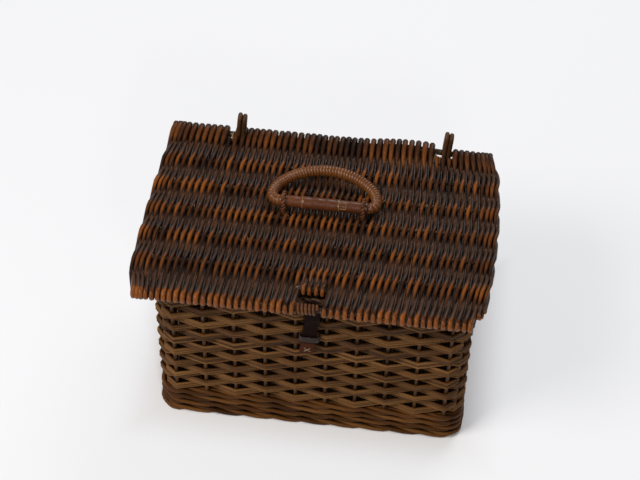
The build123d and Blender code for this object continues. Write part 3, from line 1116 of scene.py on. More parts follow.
@dataclass
class Slot:
    """Slot for the strap: a short bar behind it and a winding on the front stick before it.

    Attributes:
        plan: Plan of the lid.
        bar_finish: Willow of the bar.
        wrap_finish: Willow of the winding.
        ends: Left and right end of the slot.
        margin: How far beside the slot straight rods still end at the bar.
        bar_y: Place of the bar from front to back.
        bar_radius: Half thickness of the bar.
        bar_line: Left end, middle and right end of the bar.
        coil_line: Left end, middle and right end of the winding.
        coil_radius: Half thickness of the winding.
        coil_reach: How far the winding lies from the front stick.
        coil_pitch: Length of one turn of the winding.
    """

    plan: LidPlan
    bar_finish: Material
    wrap_finish: Material
    ends: Pair = (-12.9, 11.3)
    margin: float = 4.0
    bar_y: float = -90.325
    bar_radius: float = 2.5
    bar_line: Triple = (-14.3, 1.0, 16.2)
    coil_line: Triple = (-11.6, -0.6, 10.4)
    coil_radius: float = 1.75
    coil_reach: float = 1.5
    coil_pitch: float = 3.75

    def holds(self, x: float, margin: float = 0.0) -> bool:
        """Tell whether a place from left to right is in the slot or within a margin beside it."""
        return self.ends[0] - margin < x < self.ends[1] + margin

    def build(self, tree: RodTree) -> None:
        """Make the bar and the winding.

        Args:
            tree: Tree that makes rods.
        """
        bar_line = [Vector((x, self.bar_y, self.plan.level)) for x in self.bar_line]
        bar = tree.make("slot_bar_rod", [Rod.even(bar_line, self.bar_radius)], self.bar_finish, sides=10)
        settle(bar, Body.LID, ["slot_bar"])
        coil_line = [Vector((x, self.plan.front, self.plan.level)) for x in self.coil_line]
        coil = tree.make(
            "slot_wrap",
            [Rod.even(coil_line, self.coil_radius)],
            self.wrap_finish,
            seed=15,
            wind_radius=self.plan.front_radius + self.coil_reach,
            wind_pitch=self.coil_pitch,
            wind_steps=14,
        )
        settle(coil, Body.LID, ["slot_coil"])


@dataclass
class Lid:
    """Woven lid: pairs of strands that twist round each other over and under the sticks.

    Attributes:
        plan: Plan of the lid.
        slot: Slot for the strap.
        finish: Willow of the strands.
        stick_finish: Willow of the sticks.
        pairs: Number of pairs of strands.
        edge_pairs: Pairs at each side edge that are packed closer.
        edge_weight: Width of such a pair as a share of a middle pair's.
        strand_radius: Half thickness of a strand.
        pinch: Share by which a strand is fuller over a stick and thinner between two.
        twist: How far a strand moves aside between two sticks.
        filler_radius: Half thickness of the straight rods that lie between the pairs.
        filler_level: Height of those rods.
        core_radius: Half thickness of the straight rod in the middle of a pair.
        stick_radius: Half thickness of an inner stick.
        first_stick: First inner stick, behind the front stick.
        stick_pitch: Distance between inner sticks.
        stick_count: Number of inner sticks.
        stick_right: Right end of the front stick.
        stick_left: Left end of the front stick.
        worn_setback: How far the worn front right corner is set back.
        broken_from: Where the back stick has broken.
        broken_setback: How far its right end lies forward.
        broken_gap: Half of the gap at the break.
        stick_inset: How far a stick ends inside the lid's edge.
        seat: Gap between a strand and the stick that it passes.
        notches: Left and right ends and depths of gaps in the back edge.
        bump_front: Half thickness of a strand round the front stick.
        bump_back: Half thickness of a strand round the back stick.
        bump_rise: How far that strand stands off the back stick.
        tuck_depth: How far a strand under the back stick is pressed up to it.
        tuck_share: Share by which it is thinner there.
        tail_radius: Half thickness of a strand's end under the back stick.
        samples: Points of a strand between two sticks.
        stick_steps: Steps along a stick.
        filler_steps: Steps along a straight rod.
        turn: Degrees round the outer stick at which a strand that lies over it has its points.
        tuck_turn: The same for a strand that lies under it.
        pair_shares: Least and most width of a middle pair, as shares.
        strand_shares: Least and most thickness of a strand, as shares.
        along_shares: The same along one strand.
        bump_shares: The same for a strand round an outer stick.
        slot_share: Thickness of a strand round the slot's bar as a share of that round the front stick.
        strand_stray: How far a strand strays aside.
        twist_power: Power that keeps a strand aside for longer between two sticks.
        swell_front: Share of the way to the next stick over which a strand thins behind the front stick.
        swell_power: How fast it thins there.
        swell_back: Share of the way to the back stick from which a strand thickens.
        tuck_from: Share of that way from which a strand is pressed up to the back stick.
        worn_strays: Least and most that an end at the worn corner lies further back.
        notch_strays: The same for an end in a gap of the back edge.
        stick_shares: Least and most thickness along a stick, as shares.
        stick_stray: How far a stick strays up or down.
        filler_shares: Least and most thickness along a straight rod, as shares.
        filler_stray: How far a straight rod strays up or down.
        turn_share: How far the middle of a strand lies off the outer stick, as a share of half its thickness.
        tail_from: Degrees round the back stick from which a strand thins to its end.
        tail_reach: How far the middle of that end lies off the back stick.
        chance: Source of small unevenness.
    """

    plan: LidPlan
    slot: Slot
    finish: Material
    stick_finish: Material
    pairs: int = 54
    edge_pairs: int = 3
    edge_weight: float = 0.68
    strand_radius: float = 1.9
    pinch: float = 0.17
    twist: float = 1.5
    filler_radius: float = 2.15
    filler_level: float = 208.3
    core_radius: float = 1.4
    stick_radius: float = 2.5
    first_stick: float = 47.0
    stick_pitch: float = 35.5
    stick_count: int = 5
    stick_right: float = 163.95
    stick_left: float = -175.6
    worn_setback: float = 11.0
    broken_from: float = 127.8
    broken_setback: float = 4.0
    broken_gap: float = 0.4
    stick_inset: float = 1.0
    seat: float = 0.15
    notches: tuple[Triple, ...] = ((-112.5, -104.0, 7.5), (109.0, 127.8, 9.0))
    bump_front: float = 2.9
    bump_back: float = 3.4
    bump_rise: float = 0.9
    tuck_depth: float = 1.0
    tuck_share: float = 0.3
    tail_radius: float = 1.4
    samples: int = 8
    stick_steps: int = 12
    filler_steps: int = 9
    turn: tuple[int, ...] = (30, 60, 90, 120, 150, 175)
    tuck_turn: tuple[int, ...] = (12,)
    pair_shares: Pair = (0.9, 1.1)
    strand_shares: Pair = (0.93, 1.1)
    along_shares: Pair = (0.96, 1.04)
    bump_shares: Pair = (0.9, 1.04)
    slot_share: float = 0.8
    strand_stray: float = 0.3
    twist_power: float = 0.55
    swell_front: float = 0.6
    swell_power: float = 1.5
    swell_back: float = 0.35
    tuck_from: float = 0.5
    worn_strays: Pair = (-2.0, 2.5)
    notch_strays: Pair = (-2.5, 1.5)
    stick_shares: Pair = (0.94, 1.0)
    stick_stray: float = 0.15
    filler_shares: Pair = (0.92, 1.05)
    filler_stray: float = 0.1
    turn_share: float = 0.95
    tail_from: int = 80
    tail_reach: float = 1.0
    chance: Uneven = field(default_factory=lambda: Uneven(11))

    def shares(self) -> list[float]:
        """Places of the pairs, closer at the side edges.

        Returns:
            Shares of the width from the left edge.
        """
        weights = []
        for pair in range(self.pairs):
            at_edge = min(pair, self.pairs - 1 - pair) < self.edge_pairs
            weights.append(self.edge_weight if at_edge else self.chance.uniform(*self.pair_shares))
        total = sum(weights)
        return [(sum(weights[:pair]) + weights[pair] / 2) / total for pair in range(self.pairs)]

    def sticks(self) -> list[float]:
        """Places of the inner sticks."""
        first = self.plan.front + self.first_stick
        return [first + self.stick_pitch * number for number in range(self.stick_count)]

    def build(self, tree: RodTree) -> None:
        """Make the weave and the sticks.

        Args:
            tree: Tree that makes rods.
        """
        weave = tree.make("lid_strands", self._strands(), self.finish, steps=1, seed=12)
        settle(weave, Body.LID, ["lid_weave"])
        sticks = tree.make("lid_sticks", self._sticks(), self.stick_finish, sides=10, seed=13)
        names = ["lid_stick_" + str(number + 1) for number in range(self.stick_count)]
        names += ["lid_front_stick", "lid_back_stick", "lid_back_stick_end"]
        settle(sticks, Body.LID, names)

    def _sticks(self) -> list[Rod]:
        """Sticks of the lid.

        Returns:
            Rods from left to right.
        """
        inset = self.stick_inset
        runs = []
        for y in self.sticks():
            start, end = self.plan.edge_x(y, 0) + inset, self.plan.edge_x(y, 1) - inset
            runs.append((start, end, y, self.stick_radius))
        runs.append((self.stick_left, self.stick_right, self.plan.front, self.plan.front_radius))
        start, end = self.plan.edge_x(self.plan.back, 0) + inset, self.broken_from - self.broken_gap
        runs.append((start, end, self.plan.back, self.plan.back_radius))
        end_y = self.plan.back - self.broken_setback
        start, end = self.broken_from + self.broken_gap, self.plan.edge_x(end_y, 1) - inset
        runs.append((start, end, end_y, self.plan.back_radius))
        rods = []
        for start, end, y, radius in runs:
            points = []
            for step in range(self.stick_steps + 1):
                x = start + (end - start) * step / self.stick_steps
                stray = self.chance.stray(self.stick_stray)
                points.append(Vector((x, y, self.plan.level + self.plan.lift(x, y) + stray)))
            rods.append(Rod(points, [radius * self.chance.uniform(*self.stick_shares) for _ in points]))
        return rods

    def _strands(self) -> list[Rod]:
        """Strands of the lid.

        Returns:
            Two twisted rods for each pair, and straight rods between and inside the pairs.
        """
        rods = []
        shares = self.shares()
        for share in shares:
            for strand in range(2):
                rods.append(self._strand(share, strand))
        for near, far in zip(shares, shares[1:]):
            rods.append(self._filler((near + far) / 2, self.filler_level, self.filler_radius))
        for share in shares:
            rods.append(self._filler(share, self.plan.level, self.core_radius))
        return rods

    def _filler(self, share: float, level: float, radius: float) -> Rod:
        """Straight rod between two pairs or in the middle of one.

        Args:
            share: Its place as a share of the width.
            level: Its height.
            radius: Its half thickness.

        Returns:
            The rod from its front end to its back end.
        """
        front_x = self.plan.edge_x(self.plan.front, share)
        back_x = self.plan.edge_x(self.plan.back, share)
        first = self.plan.front
        if self.slot.holds(front_x, self.slot.margin):
            first = self.slot.bar_y
        elif front_x > self.stick_right:
            first = self.plan.front + self.worn_setback
        last = self.plan.back
        if back_x > self.broken_from:
            last -= self.broken_setback
        for left, right, setback in self.notches:
            if left < back_x < right:
                last = self.plan.back - setback
        points = []
        for step in range(self.filler_steps + 1):
            y = first + (last - first) * step / self.filler_steps
            x = self.plan.edge_x(y, share)
            stray = self.chance.stray(self.filler_stray)
            points.append(Vector((x, y, level + self.plan.lift(x, y) + stray)))
        return Rod(points, [radius * self.chance.uniform(*self.filler_shares) for _ in points])

    def _strand(self, share: float, strand: int) -> Rod:
        """One strand of a pair.

        Args:
            share: Place of the pair as a share of the width.
            strand: Which of the two strands.

        Returns:
            The strand from its front end to its back end.
        """
        front_x = self.plan.edge_x(self.plan.front, share)
        back_x = self.plan.edge_x(self.plan.back, share)
        front_stop, front_radius = self.plan.front, self.plan.front_radius
        in_slot = self.slot.holds(front_x)
        if in_slot:
            front_stop, front_radius = self.slot.bar_y, self.slot.bar_radius
        stops = [(front_stop, front_radius)]
        stops += [(y, self.stick_radius) for y in self.sticks()]
        back_stop = self.plan.back - (self.broken_setback if back_x > self.broken_from else 0.0)
        stops.append((back_stop, self.plan.back_radius))
        radius = self.strand_radius * self.chance.uniform(*self.strand_shares)
        first_y = -math.inf
        if front_x > self.stick_right:
            first_y = self.plan.front + self.worn_setback + self.chance.uniform(*self.worn_strays)
        last_y = math.inf
        for left, right, setback in self.notches:
            if left < back_x < right:
                last_y = self.plan.back - setback + self.chance.uniform(*self.notch_strays)
        stray = self.chance.stray(self.strand_stray)
        fat_front = self.bump_front * self.chance.uniform(*self.bump_shares)
        if in_slot:
            fat_front *= self.slot_share
        fat_back = self.bump_back * self.chance.uniform(*self.bump_shares)
        points = []
        radii = []
        for number, ((near, near_radius), (far, far_radius)) in enumerate(zip(stops, stops[1:])):
            last = number == len(stops) - 2
            for sample in range(self.samples + (1 if last else 0)):
                part = sample / self.samples
                turn = math.pi * (number + part + strand)
                y = near + (far - near) * part
                if not first_y <= y <= last_y:
                    continue
                reach = near_radius + (far_radius - near_radius) * part + radius + self.seat
                tuck = 0.0
                if last and strand == 1:
                    tuck = max(0.0, (part - self.tuck_from) / (1 - self.tuck_from))
                reach -= self.tuck_depth * tuck
                aside = math.sin(turn)
                bow = self.twist * math.copysign(abs(aside) ** self.twist_power, aside)
                x = self.plan.edge_x(y, share) + bow + stray
                # The mean of a round wave and one with straight flanks.
                wave = 0.5 * math.cos(turn) + math.asin(math.cos(turn)) / math.pi
                points.append(Vector((x, y, self.plan.level + reach * wave + self.plan.lift(x, y))))
                thick = radius * (1 + self.pinch * math.cos(2 * turn))
                thick *= self.chance.uniform(*self.along_shares)
                thick *= 1 - self.tuck_share * tuck
                if strand == 0 and number == 0:
                    thick += (fat_front - thick) * max(0.0, 1 - part / self.swell_front) ** self.swell_power
                if strand == 0 and last:
                    thick += (fat_back - thick) * max(0.0, (part - self.swell_back) / (1 - self.swell_back))
                radii.append(thick)
        if first_y < front_stop:
            self._turn_in(points, radii, stops[0], -1, fat_front)
        if last_y > back_stop:
            self._turn_in(points, radii, stops[-1], 1, fat_back)
        return Rod(points, radii)

    def _turn_in(
        self, points: list[Vector], radii: list[float], stop: Pair, ahead: int, fat: float
    ) -> None:
        """Lead the end of a strand round the outer stick, right round it if it lies over the stick.

        Args:
            points: Points of the strand, which are added to.
            radii: Half thicknesses, which are added to.
            stop: Place and half thickness of the stick.
            ahead: -1 at the front end and 1 at the back end.
            fat: Half thickness round the stick.
        """
        y, stick = stop
        end = points[0] if ahead < 0 else points[-1]
        axis = self.plan.level + self.plan.lift(end.x, y)
        over = end.z > axis
        side = 1 if over else -1
        rise = self.bump_rise if ahead > 0 and over else 0.0
        turn_points = []
        swell = []
        for angle in self.turn if over else self.tuck_turn:
            swing = math.radians(angle)
            taper = 0.0
            if ahead > 0:
                taper = max(0.0, (angle - self.tail_from) / (self.turn[-1] - self.tail_from))
            reach = stick + (self.strand_radius * self.turn_share + rise) * (1 - taper)
            reach += self.tail_reach * taper
            if not over:
                reach = abs(end.z - axis)
            up = axis + side * reach * math.cos(swing)
            turn_points.append(Vector((end.x, y + ahead * reach * math.sin(swing), up)))
            tail = fat + (self.tail_radius - fat) * taper
            swell.append(tail if over else radii[0 if ahead < 0 else -1])
        if ahead < 0:
            points[:0] = turn_points[::-1]
            radii[:0] = swell[::-1]
        else:
            points += turn_points
            radii += swell


@dataclass
class Splinters:
    """Broken ends that show pale wood at the back edge of the lid.

    Attributes:
        plan: Plan of the lid.
        finish: Pale wood.
        ends: Place from left to right and front to back, length and lean of each broken end.
        radii: Half thicknesses of a broken end from its root to its tip.
        rises: Heights of its root and its tip above the sticks.
        bow: How far its middle is bent up.
    """

    plan: LidPlan
    finish: Material
    ends: tuple[tuple[float, float, float, float], ...] = (
        (-109.0, 104.0, 13.0, 0.5),
        (-106.2, 106.0, 8.0, -0.6),
        (108.0, 100.0, 17.0, 2.4),
        (111.5, 101.0, 11.0, -1.2),
        (114.2, 99.5, 9.0, 0.8),
    )
    radii: Triple = (1.2, 1.0, 0.45)
    rises: Pair = (1.2, 3.2)
    bow: float = 0.6

    def build(self, tree: RodTree) -> None:
        """Make the broken ends.

        Args:
            tree: Tree that makes rods.
        """
        rods = []
        root_rise, tip_rise = self.rises
        for x, y, length, lean in self.ends:
            start = Vector((x, y, self.plan.level + root_rise))
            end = Vector((x + lean, y + length, self.plan.level + tip_rise))
            middle = (start + end) / 2 + Vector((0, 0, self.bow))
            rods.append(Rod([start, middle, end], list(self.radii)))
        piece = tree.make("bare_splinters", rods, self.finish, sides=6, seed=16)
        settle(piece, Body.LID, [])


@dataclass
class Hinges:
    """Two doubled loops that hold the lid's back stick to the rim.

    Attributes:
        plan: Plan of the lid.
        finish: Willow of the loops.
        top: Height of the top of a loop.
        half: Half of the loop's width from front to back, at the middle of its strand.
        radius: Half thickness of a strand.
        lid_level: Height above which a loop leans.
        lean: How far it leans to the right, per unit of height.
        drop: How much lower the second strand ends.
        round_share: Width of a loop near its top and its foot, as a share of its full width.
        round_drop: How far below its top a loop has that width.
        foot_share: How far below the rim's axis it has that width, as a share of half its full width.
        rim_rise: How far above the rim's axis a loop has its full width.
        places: Side and places of the two strands of each loop.
    """

    plan: LidPlan
    finish: Material
    top: float = 238.0
    half: float = 4.5
    radius: float = 2.45
    lid_level: float = 216.0
    lean: float = 0.07
    drop: float = 1.2
    round_share: float = 0.8
    round_drop: float = 2.2
    foot_share: float = 0.55
    rim_rise: float = 2.0
    places: tuple[tuple[str, float, float], ...] = (("left", -102.3, -97.2), ("right", 118.6, 123.6))

    def build(self, tree: RodTree) -> None:
        """Make both loops.

        Args:
            tree: Tree that makes rods.
        """
        for side, *places in self.places:
            rods = [self._strand(x, self.top - number * self.drop) for number, x in enumerate(places)]
            loop = tree.make("hinge_loop_rods_" + side, rods, self.finish, sides=10, steps=5, seed=21)
            settle(loop, Body.LID, ["hinge_loop_" + side])

    def _strand(self, x: float, top: float) -> Rod:
        """One strand of a loop.

        Args:
            x: Place from left to right.
            top: Height of its top.

        Returns:
            A closed rod.
        """
        rim = self.plan.walls.rim_level
        rounded = self.half * self.round_share
        back_side = (
            (rounded, rim - self.half * self.foot_share),
            (self.half, rim + self.rim_rise),
            (self.half, self.lid_level),
            (rounded, top - self.round_drop),
        )
        front_side = [(-y, z) for y, z in reversed(back_side)]
        points = []
        for y, z in ((0.0, rim - self.half), *back_side, (0.0, top), *front_side):
            points.append(Vector((x + self.lean * max(0.0, z - self.lid_level), self.plan.back + y, z)))
        return Rod.even(points, self.radius, closed=True)


@dataclass
class Handle:
    """Ring handle: a bow wound with cane, a bar covered with flat cane, and two ties.

    Attributes:
        cane: Finish of the wound bow.
        cover: Finish of the bar.
        seam: Pale cane of the joints on the bar.
        tie_finish: Finish of the ties.
        x: Middle of the handle.
        y: Axis of the bar.
        z: Height of the bar.
        half: Half of the ring's width.
        length: Reach of the bow behind the bar.
        bend: Radius of the ring's corners.
        side_bend: Radius of the bow's sides.
        bar_radius: Half thickness of the bar.
        core_radius: Half thickness of the bow under its winding.
        cane_radius: Half thickness of the winding cane.
        wind_radius: How far the winding cane lies from the bow's axis.
        wind_pitch: Length of one turn.
        joints: Places of the joints in the bar's cover.
        ties: Places of the ties.
        tie_bottom: Height of a tie under the lid.
        tie_half: Half of a tie's width.
        tie_radius: Half thickness of a tie's strand.
        tie_wind: How far a strand lies from the tie's line.
        tie_pitch: Length of one turn of a strand.
        tie_level: Height at which a tie enters the lid.
        tie_tuck: How much narrower a tie is under the lid.
        seam_radius: Half thickness of the joints on the bar.
        patch_radius: Half thickness of the edges of the small patch.
        patch: Left and right end of the patch, from the right joint.
        patch_turn: Degrees about the bar of the patch's edges.
        bar_steps: Rings along the bar's cover, less one.
        bar_corners: Points of such a ring.
        cover_inset: How far the cover lies inside the bar's half thickness, beside the joints.
        cover_swell: How much fuller it is between the joints.
        cover_wave: How far it rises and falls along the bar.
        cover_waves: Number of those waves.
        end_share: Half thickness at the bar's ends, as a share.
        seam_inset: How far the joints lie inside the bar's half thickness.
        seam_corners: Points of a joint.
        side_steps: Steps of each arc at the sides of the bow.
        top_steps: Steps of the arc between them.
        tie_turn: Degrees about the bar of the points of a tie.
    """

    cane: Material
    cover: Material
    seam: Material
    tie_finish: Material
    x: float = 0.907
    y: float = 14.26
    z: float = 222.7
    half: float = 54.0
    length: float = 48.0
    bend: float = 8.0
    side_bend: float = 28.0
    bar_radius: float = 6.35
    core_radius: float = 4.9
    cane_radius: float = 2.05
    wind_radius: float = 3.95
    wind_pitch: float = 3.3
    joints: Pair = (-20.9, 16.9)
    ties: Pair = (-40.2, 42.1)
    tie_bottom: float = 202.7
    tie_half: float = 8.2
    tie_radius: float = 1.3
    tie_wind: float = 1.2
    tie_pitch: float = 7.5
    tie_level: float = 212.0
    tie_tuck: float = 1.5
    seam_radius: float = 0.4
    patch_radius: float = 0.3
    patch: Pair = (1.2, 7.4)
    patch_turn: tuple[int, ...] = (105, 125, 145, 165)
    bar_steps: int = 92
    bar_corners: int = 24
    cover_inset: float = 0.25
    cover_swell: float = 0.4
    cover_wave: float = 0.1
    cover_waves: float = 7.5
    end_share: float = 0.86
    seam_inset: float = 0.2
    seam_corners: int = 12
    side_steps: int = 3
    top_steps: int = 8
    tie_turn: tuple[int, ...] = tuple(range(0, 181, 30))

    def build(self, tree: RodTree) -> None:
        """Make the bow, the bar and the ties.

        Args:
            tree: Tree that makes rods.
        """
        line = self._bow_line()
        core = tree.make("bow_core", [Rod.even(line, self.core_radius)], self.cane, sides=12, seed=31)
        settle(core, Body.HANDLE, ["handle_bow"])
        coil = tree.make(
            "bow_winding",
            [Rod.even(line, self.cane_radius)],
            self.cane,
            seed=32,
            wind_radius=self.wind_radius,
            wind_pitch=self.wind_pitch,
            wind_steps=16,
        )
        settle(coil, Body.HANDLE, ["handle_bow"])
        bar = loft("bar_cover", self._bar_rings(), self.cover)
        settle(bar, Body.HANDLE, ["handle_bar"])
        seams = tree.make("bar_joints", self._seams(), self.seam, seed=33)
        settle(seams, Body.HANDLE, [])
        for side, x in zip(("left", "right"), self.ties):
            tie = tree.make(
                "tie_cord_" + side,
                self._tie(x),
                self.tie_finish,
                seed=34,
                wind_radius=self.tie_wind,
                wind_pitch=self.tie_pitch,
                wind_steps=8,
            )
            settle(tie, Body.LID, ["handle_tie_" + side])

    def _bow_line(self) -> list[Vector]:
        """Axis of the bow from the right end of the bar round to its left end.

        Returns:
            Points along the arcs.
        """
        rise = self.length - self.bend
        bend = (self.half**2 + rise**2 - 2 * self.half * self.side_bend) / (2 * (rise - self.side_bend))
        centre = self.length - bend
        side_x = self.half - self.side_bend
        turn = math.degrees(math.atan2(self.bend - centre, side_x))
        arcs = (
            (self.half - self.bend, self.bend, self.bend, -90.0, 0.0, self.side_steps),
            (side_x, self.bend, self.side_bend, 0.0, turn, self.side_steps),
            (0.0, centre, bend, turn, 180.0 - turn, self.top_steps),
            (-side_x, self.bend, self.side_bend, 180.0 - turn, 180.0, self.side_steps),
            (self.bend - self.half, self.bend, self.bend, 180.0, 270.0, self.side_steps),
        )
        line = []
        for middle_x, middle_y, radius, start, end, steps in arcs:
            for step in range(steps):
                angle = math.radians(start + (end - start) * step / steps)
                aside, behind = radius * math.cos(angle), radius * math.sin(angle)
                line.append(Vector((middle_x + aside, middle_y + behind, 0)))
        line.append(Vector((self.bend - self.half, 0, 0)))
        return [point + Vector((self.x, self.y, self.z)) for point in line]

    def _bar_rings(self) -> list[list[Vector]]:
        """Rings of the bar's cover, a little fuller between its joints.

        Returns:
            Rings from left to right.
        """
        rings = []
        half = self.half - self.bend
        turn = 360 / self.bar_corners
        for step in range(self.bar_steps + 1):
            share = step / self.bar_steps
            x = self.x - half + 2 * half * share
            wave = self.cover_wave * math.sin(share * 2 * math.pi * self.cover_waves)
            radius = self.bar_radius - self.cover_inset + wave
            if self.joints[0] < x < self.joints[1]:
                radius += self.cover_swell
            if step in (0, self.bar_steps):
                radius *= self.end_share
            rings.append([self._about_bar(x, radius, turn * corner) for corner in range(self.bar_corners)])
        return rings

    def _seams(self) -> list[Rod]:
        """Thin joints round the bar and the edges of a small patch.

        Returns:
            Closed rings and short lines.
        """
        rods = []
        reach = self.bar_radius - self.seam_inset
        turn = 360 / self.seam_corners
        for x in self.joints:
            ring = [self._about_bar(x, reach, turn * corner) for corner in range(self.seam_corners)]
            rods.append(Rod.even(ring, self.seam_radius, closed=True))
        left, right = [self.joints[1] + end for end in self.patch]
        edges = []
        for angle in (self.patch_turn[0], self.patch_turn[-1]):
            edges.append([self._about_bar(x, reach, angle) for x in (left, (left + right) / 2, right)])
        edges.append([self._about_bar(right, reach, angle) for angle in self.patch_turn])
        return rods + [Rod.even(edge, self.patch_radius) for edge in edges]

    def _about_bar(self, x: float, reach: float, angle: float) -> Vector:
        """Place about the bar's axis."""
        swing = math.radians(angle)
        return Vector((x, self.y + reach * math.cos(swing), self.z + reach * math.sin(swing)))

    def _tie(self, x: float) -> list[Rod]:
        """Strands of one tie round the bar and through the lid.

        Args:
            x: Place of the tie.

        Returns:
            Two strands that wind about each other.
        """
        line = [self._about_bar(x, self.tie_half, angle) for angle in self.tie_turn]
        narrow = self.tie_half - self.tie_tuck
        for reach, level in (
            (-self.tie_half, self.tie_level),
            (-narrow, self.tie_bottom),
            (narrow, self.tie_bottom),
            (self.tie_half, self.tie_level),
        ):
            line.append(Vector((x, self.y + reach, level)))
        return [Rod.even(line, self.tie_radius, True, strand / 2) for strand in range(2)]


@dataclass
class Closure:
    """Leather strap that comes down through the lid's slot, its keeper and a bit of thread.

    Attributes:
        leather: Finish of the strap.
        keeper_leather: Finish of the keeper.
        thread: Finish of the thread.
        width: Width of the strap.
        thickness: Thickness of the strap.
        stops: Places of the strap's middle from its top to its tip.
        ring_pitch: Distance between two rings of the strap.
        tip_share: Width of the strap's tip, as a share.
        edge_wave: How far the edges of the strap wander.
        edge_rate: Radians of that wave in a millimetre.
        face_wave: How far its faces wander.
        face_rate: Radians of that wave in a millimetre.
        edge_corners: Points of a rounded edge of the strap.
        keeper_x: Middle of the keeper from left to right.
        keeper_front: Front of its way.
        keeper_side: Reach to the side and place from front to back, along half of its way from a foot.
        keeper_corners: Points of a ring of the keeper.
        keeper_power: Power that squares such a ring.
        keeper_level: Height of the keeper's middle.
        keeper_half: Half of its height.
        keeper_thick: Half of its thickness.
        stitch_ends: Heights of the ends of a stitch.
        stitch_line: Places of a stitch from left to right and front to back, and its half thicknesses.
    """

    leather: Material
    keeper_leather: Material
    thread: Material
    width: float = 15.0
    thickness: float = 2.0
    stops: tuple[Triple, ...] = (
        (3.45, -109.175, 214.0),
        (5.6, -109.175, 196.0),
        (1.6, -105.525, 152.0),
        (-1.4, -105.525, 127.0),
    )
    ring_pitch: float = 3.0
    tip_share: float = 0.86
    edge_wave: float = 0.25
    edge_rate: float = 0.21
    face_wave: float = 0.2
    face_rate: float = 0.16
    edge_corners: int = 7
    keeper_x: float = 1.8
    keeper_front: float = -108.6
    keeper_side: tuple[Pair, ...] = (
        (10.4, -98.6),
        (10.4, -102.5),
        (10.2, -105.6),
        (9.4, -107.4),
        (7.4, -108.3),
        (3.7, -108.5),
    )
    keeper_corners: int = 12
    keeper_power: float = 0.5
    keeper_level: float = 151.6
    keeper_half: float = 4.0
    keeper_thick: float = 0.55
    stitch_ends: Pair = (130.6, 136.0)
    stitch_line: tuple[Triple, ...] = ((-3.4, -106.5, 0.42), (-0.2, -106.95, 0.45), (3.0, -106.5, 0.42))

    def build(self, tree: RodTree) -> None:
        """Make the strap, the keeper and the thread.

        Args:
            tree: Tree that makes rods.
        """
        strap = loft("strap_band", self._strap_rings(), self.leather)
        settle(strap, Body.LID, ["strap"])
        keeper = loft("keeper_band", self._keeper_rings(), self.keeper_leather)
        settle(keeper, Body.BASKET, ["strap_keeper"])
        thread = tree.make("strap_thread", self._thread(), self.thread, sides=6, steps=3, seed=41)
        settle(thread, Body.LID, [])

    def _strap_rings(self) -> list[list[Vector]]:
        """Rings of the strap from its top to its tip.

        Returns:
            Rounded flat rings.
        """
        rings = []
        tip_z = self.stops[-1][2]
        for near, far in zip(self.stops, self.stops[1:]):
            steps = max(2, round((near[2] - far[2]) / self.ring_pitch))
            for step in range(steps + (1 if far[2] == tip_z else 0)):
                share = step / steps
                x, y, z = (start + (end - start) * share for start, end in zip(near, far))
                tip = max(0.0, min(1.0, (z - tip_z) / self.ring_pitch))
                full = self.tip_share + (1 - self.tip_share) * math.sqrt(tip)
                half = self.width / 2 * full + self.edge_wave * math.sin(z * self.edge_rate)
                stray = self.face_wave * math.sin(z * self.face_rate)
                rings.append(self._flat_ring(x, y + stray, z, half))
        return rings

    def _flat_ring(self, x: float, y: float, z: float, half: float) -> list[Vector]:
        """Ring across the strap.

        Args:
            x: Middle from left to right.
            y: Middle from front to back.
            z: Height.
            half: Half of the width.

        Returns:
            Points round a flat section with rounded edges.
        """
        thick = self.thickness / 2
        turn = 180 / (self.edge_corners - 1)
        ring = []
        for side, start in ((1, -90), (-1, 90)):
            centre = x + side * (half - thick)
            for step in range(self.edge_corners):
                angle = math.radians(start + turn * step)
                ring.append(Vector((centre + thick * math.cos(angle), y + thick * math.sin(angle), z)))
        return ring

    def _keeper_rings(self) -> list[list[Vector]]:
        """Rings of the keeper from its left foot over the strap to its right foot.

        Returns:
            Rounded upright rings.
        """
        left = [(-reach, y) for reach, y in self.keeper_side]
        way = [*left, (0.0, self.keeper_front), *reversed(self.keeper_side)]
        line = [Vector((self.keeper_x + aside, y, self.keeper_level)) for aside, y in way]
        rings = []
        for number, point in enumerate(line):
            before = line[max(0, number - 1)]
            after = line[min(len(line) - 1, number + 1)]
            along = (after - before).normalized()
            aside = Vector((-along.y, along.x, 0))
            ring = []
            for corner in range(self.keeper_corners):
                angle = 2 * math.pi * corner / self.keeper_corners
                flat = math.copysign(abs(math.cos(angle)) ** self.keeper_power, math.cos(angle))
                up = Vector((0, 0, self.keeper_half * math.sin(angle)))
                ring.append(point + aside * self.keeper_thick * flat + up)
            rings.append(ring)
        return rings

    def _thread(self) -> list[Rod]:
        """Crossed stitches near the strap's tip.

        Returns:
            Two thin rods.
        """
        rods = []
        radii = [radius for _, _, radius in self.stitch_line]
        for left, right in (self.stitch_ends, self.stitch_ends[::-1]):
            levels = (left, (left + right) / 2, right)
            points = [Vector((x, y, z)) for (x, y, _), z in zip(self.stitch_line, levels)]
            rods.append(Rod(points, radii))
        return rods


